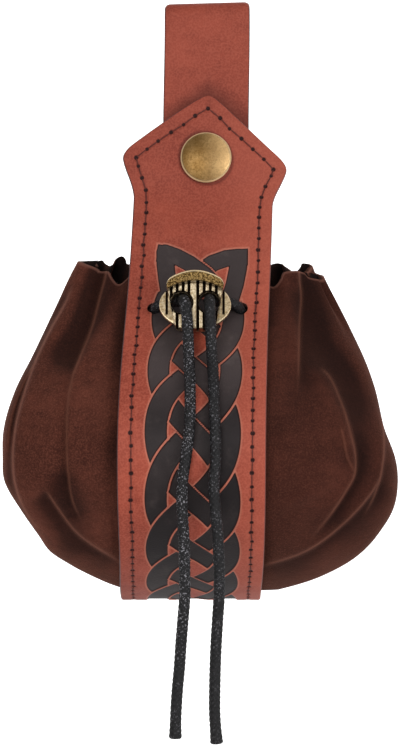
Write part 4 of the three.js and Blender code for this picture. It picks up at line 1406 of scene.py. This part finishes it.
def turned(name, rows, rims):
    # a profile of radius and height turned about the snap's axis, with a value of rim, for the painted
    # highlight, for each row
    rows = np.asarray(rows, float)
    side = np.array([1.0, 0, 0])
    circle = circleAt(np.arange(snap["sides"]) * 2 * np.pi / snap["sides"], side, np.cross(snapOut, side))
    rings = snapPlace + rows[:, None, :1] * circle + rows[:, None, 1:] * snapOut
    values = {"rim": withEnds(np.repeat(rims, snap["sides"]))}
    piece = putPiece(name, ringShell(rings), brassMaterial, values, 35)
    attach(piece, "root")
    return piece


def makeSnap():
    # cap: recess for the stud, socket behind the leather, shank through it, and the dome with its rim
    gap = panel["clearance"]
    top = -panel["leather"] - gap
    foot = top - snap["socketHeight"]
    recess = top - snap["recess"]
    radius = panel["capDiameter"] / 2
    stud, socket, shank, post, edge = (snap[key] / 2 for key in ("stud", "socket", "shank", "post", "base"))
    rows = [
        (0.05, recess), (stud + 0.4, recess), (stud + 0.4, foot + 0.2), (stud + 0.6, foot),
        (socket - 0.3, foot), (socket, foot + 0.3), (socket, top - 0.2), (socket - 0.2, top),
        (shank, top), (shank, gap), (radius - 0.5, gap), (radius - 0.2, gap + 0.08),
    ]
    for angle in np.radians(np.arange(-60, 61, 20)):
        across = radius - snap["rim"] + snap["rim"] * math.cos(angle)
        rows.append((across, gap + 0.46 + 0.4 * math.sin(angle)))
    for share in np.linspace(0.96, 0.005, 24):
        rows.append((radius * share, gap + 0.86 + (snap["capHeight"] - 0.86) * (1 - share ** 2.2)))
    # where the painted highlight of the rim lies
    rims = np.array([0] * 11 + [0.6] + [1] * 7 + [1, 0.45] + [0] * 22)
    cap = turned("snapCap", rows, rims)
    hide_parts("snap_cap")
    # stud: base plate behind the strap, post through it, flange before it and the stud in the socket
    strapFront = -panel["leather"] - panel["snapGap"]
    plate = strapFront - panel["leather"] - gap
    flange = strapFront + gap + snap["studFlange"]
    tip = recess - 0.4
    rows = [
        (0.05, plate - snap["baseHeight"]), (edge - 0.5, plate - snap["baseHeight"]),
        (edge - 0.15, plate - snap["baseHeight"] + 0.2), (edge, plate - 0.6), (edge, plate),
        (post, plate), (post, strapFront + gap), (socket - 0.6, strapFront + gap), (socket - 0.6, flange),
        (stud - 0.2, flange), (stud, tip - 0.6), (stud - 0.15, tip - 0.2), (stud - 0.6, tip), (0.05, tip),
    ]
    stud = turned("snapStud", rows, np.zeros(len(rows)))
    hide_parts("snap_stud")


makeSnap()
print("snap made")


# Bead: an oval plate behind a ribbed drum with a pitted brow, and two holes for the cord

def bronzeFinish():
    # pitted bronze: bright ribs, a stippled brow, edges painted bright as highlight, dark grooves, and
    # painted shade in and round the holes and where the drum meets the plate
    finish = Finish("aged_bronze", {"Metallic": 1.0})
    pits = finish.noise(1100, 3.0, 0.7)
    low = finish.value("low")
    brow = finish.value("brow")
    stipple = finish.noise(2300, 2.0, 0.6)
    bright = finish.mix(pits.between(0.35, 0.65), colour(146, 126, 96), colour(208, 192, 162))
    gold = finish.mix(stipple.between(0.42, 0.6), colour(66, 48, 24), colour(156, 128, 80))
    base = finish.layered(bright, [
        (brow, gold),
        # painted highlight on the edges
        (finish.value("edge"), colour(226, 206, 168)),
        # dark patina in the grooves, and painted shade at the holes and where the drum meets the plate
        (low.between(0.15, 0.6), colour(26, 18, 11)),
    ])
    finish.give(BaseColor=base, Roughness=0.36 + low * 0.4 + brow * 0.16)
    finish.give(Normal=finish.raised(pits, 0.0002, 0.25))
    return finish.material


bronzeMaterial = bronzeFinish()


def outlineOf(x):
    # top and foot of the drum at each place across, from rows of share and height
    share = np.abs(x) / (bead["drumWidth"] / 2)
    upper, lower = (np.asarray(bead[key], float) for key in ("upper", "lower"))
    return np.interp(share, upper[:, 0], upper[:, 1]), np.interp(share, lower[:, 0], lower[:, 1])


def pillow(x, upper, lower, back, front, rounding, rows, height=None):
    # slices across of a closed shape: each goes down the front, round the foot edge, up the back and
    # round the top edge; height adds to all but the back
    inner = np.minimum(rounding, (upper - lower)[:, None] * 0.3)
    middle = ((upper + lower) / 2)[:, None]
    half = ((upper - lower) / 2)[:, None]
    angle = np.radians(np.array([22.5, 45, 67.5, 90]))
    yFront = middle + np.linspace(1, -1, rows) * (half - inner)
    yLow = middle - (half - inner) - inner * np.sin(angle)
    yHigh = (middle + (half - inner) + inner * np.sin(angle))[:, ::-1]
    zEdge = front - inner * (1 - np.cos(angle))
    y = np.concatenate([yFront, yLow, middle - half, middle + half, yHigh], 1)
    z = np.concatenate([front + 0 * yFront, zEdge, np.full((len(x), 2), back), zEdge[:, ::-1]], 1)
    grid = np.broadcast_to(x[:, None], y.shape)
    added = height(grid, y) if height else np.zeros(y.shape)
    added[:, rows + len(angle):-len(angle)] = 0
    return grid, y, z + added, added


def drumHeight(x, y):
    # ribs with grooves between them, and above an arch the brow that stands prouder, with a lip
    upper, lower = outlineOf(x)
    arch = upper.max() - bead["browHeight"] - bead["archFall"] * x ** 2
    overBrow = ease((y - arch) / 0.35)
    gap = np.abs(x[..., None] - np.array(bead["grooves"])).min(-1)
    groove = ease((bead["grooveHalf"] - gap) / 0.22)
    lip = bump(y - upper + 0.35, 0.7) * bead["lip"]
    undercut = bump(y - arch + 0.35, 0.5) * bead["undercut"]
    ribs = -bead["ribDepth"] * 1.3 * groove - undercut
    return ribs * (1 - overBrow) + (bead["browStep"] + lip) * overBrow


def onBead(points):
    # places given to the right, up and out of the bead, as places in the part
    return points @ np.stack([np.array([1.0, 0, 0]), beadUp, beadForward]) + beadPlace


def makeDrum():
    # slices close together at the grooves and towards the ends
    half = bead["drumWidth"] / 2
    nearGroove = np.array([-0.6, -0.5, -0.4, -0.3, -0.2, 0, 0.2, 0.3, 0.4, 0.5, 0.6])
    fine = [place + nearGroove for place in bead["grooves"]]
    ends = half * np.sin(np.radians(np.linspace(60, 88.5, 14)))
    plain = np.linspace(-half * 0.86, half * 0.86, bead["drumSlices"])
    x = np.unique(np.round(np.concatenate([*fine, plain, ends, -ends]), 3))
    x = x[np.abs(x) < half * 0.9997]
    upper, lower = outlineOf(x)
    back = bead["flangeThick"] / 2
    front = bead["flangeThick"] + bead["drumDepth"]
    rounding = bead["drumRounding"]
    grid, y, z, added = pillow(x, upper, lower, back, front, rounding, bead["drumRows"], drumHeight)
    low = np.clip(-added / (bead["ribDepth"] * 1.3), 0, 1)
    brow = np.where(added > 0.2, 1, 0)
    hole = np.hypot(np.abs(grid) - bead["holeSpacing"] / 2, y - bead["holeRise"]) - bead["hole"] / 2
    # painted shade round the holes
    low = np.maximum(low, 1 - ease((hole - 0.35) / 0.3))
    # painted highlight along the top of the brow
    edge = brow * bump(y - upper[:, None] + 0.25, 0.5)
    values = {"low": withEnds(low), "brow": withEnds(brow), "edge": withEnds(edge)}
    points, faces = ringShell(np.stack([grid, y, z], -1))
    return putPiece("toggleBead", (onBead(points), faces), bronzeMaterial, values, 40)


def makePlate():
    # oval, a little below the drum's middle, with painted shade where the drum meets it and a painted
    # highlight at its edge
    wide = bead["flangeWidth"] / 2
    x = wide * np.sin(np.radians(np.linspace(-89, 89, bead["flangeSlices"])))
    reach = bead["flangeHeight"] / 2 * np.sqrt(1 - (x / wide) ** 2)
    upper = reach - bead["flangeSink"]
    lower = -reach - bead["flangeSink"]
    front = bead["flangeThick"]
    grid, y, z, added = pillow(x, upper, lower, 0, front, bead["flangeRounding"], bead["flangeRows"])
    points, faces = ringShell(np.stack([grid, y, z], -1))
    # painted highlight along the edge
    inwards = reach[:, None] - np.abs(y + bead["flangeSink"])
    edge = withEnds(1 - ease((inwards - 0.3) / 0.4), 1)
    # painted shade where the drum meets the plate
    drumSide = np.abs(np.abs(points[:, 0]) - bead["drumWidth"] / 2)
    low = np.where((points[:, 2] > 1) & (points[:, 1] > -4), 1 - ease((drumSide - 0.2) / 0.3), 0)
    values = {"low": low, "brow": 0.4 * (1 - edge), "edge": edge}
    return putPiece("beadPlate", (onBead(points), faces), bronzeMaterial, values, 40)


def makeBead():
    drum = makeDrum()
    plate = makePlate()
    length = bead["flangeThick"] + bead["drumDepth"] + 4
    for piece in (drum, plate):
        cutters = []
        for sign in (-1, 1):
            start = onBead(np.array([sign * bead["holeSpacing"] / 2, bead["holeRise"], -1]))
            bar = rod(start, beadForward, length, bead["hole"] / 2, 64)
            # hole walls painted dark as the shade inside the holes
            plain = np.zeros(len(bar[0]))
            dark = {"low": plain + 1, "brow": plain, "edge": plain}
            cutters.append(putPiece("beadHoleCutter", bar, bronzeMaterial, dark))
        cutWith(piece, cutters)
        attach(piece, "root")
    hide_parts("toggle_bead")


makeBead()
print("bead made")


# Floor, backdrop and light

studio = {
    "floor": -0.6,
    "front": -2.5,
    "wall": 1.8,
    "curve": 0.6,
    "height": 3,
    "half": 3.0,
    "world": 0.4,
    "aim": (0, 0, -0.12),
    "lights": [
        ("key", (-0.3, -1.15, 0.08), 0.5, 4.3),
        ("fill", (0.75, -0.9, 0.02), 0.5, 3.8),
        ("top", (0.35, -0.6, 0.6), 0.6, 1.2),
    ],
}


def makeStage():
    # floor that curves up into a wall behind, in metres like the lights
    angle = np.radians(np.linspace(0, 90, 16))
    curve = studio["curve"]
    y = np.concatenate([[studio["front"]], studio["wall"] - curve + curve * np.sin(angle), [studio["wall"]]])
    z = np.concatenate([[0], curve - curve * np.cos(angle), [studio["height"]]]) + studio["floor"]
    sides = [np.stack([np.full(len(y), x), y, z], -1) for x in (-studio["half"], studio["half"])]
    number = np.arange(2 * len(y)).reshape(2, -1)
    faces = [np.stack([number[0, :-1], number[1, :-1], number[1, 1:], number[0, 1:]], -1)]
    finish = Finish("backdrop", {"Roughness": 1.0, "Specular IOR Level": 0.0, "Emission Strength": 1.0})
    tone = finish.noise(3.0, 2.0)
    finish.give(BaseColor=finish.mix(tone, (0.86, 0.86, 0.86, 1), (0.9, 0.9, 0.9, 1)))
    glow = finish.axis(1).between(0.6, 1.1)
    finish.give(EmissionColor=finish.mix(glow, (0, 0, 0, 1), (0.9, 0.9, 0.9, 1)))
    sweep = putPiece("backdrop", (np.concatenate(sides) / mm, faces), finish.material)


def makeLights():
    for name, place, size, power in studio["lights"]:
        data = bpy.data.lights.new(name, "AREA")
        data.size = size
        data.energy = power
        lamp = bpy.data.objects.new(name, data)
        bpy.context.scene.collection.objects.link(lamp)
        turn = (Vector(studio["aim"]) - Vector(place)).to_track_quat("-Z", "Y")
        lamp.matrix_world = Matrix.Translation(place) @ turn.to_matrix().to_4x4()
    world = bpy.data.worlds.new("studio")
    world.use_nodes = True
    world.node_tree.nodes["Background"].inputs["Color"].default_value = (1, 1, 1, 1)
    world.node_tree.nodes["Background"].inputs["Strength"].default_value = studio["world"]
    bpy.context.scene.world = world
    bpy.context.scene.view_settings.view_transform = "Standard"


makeStage()
makeLights()
print("stage and lights made")
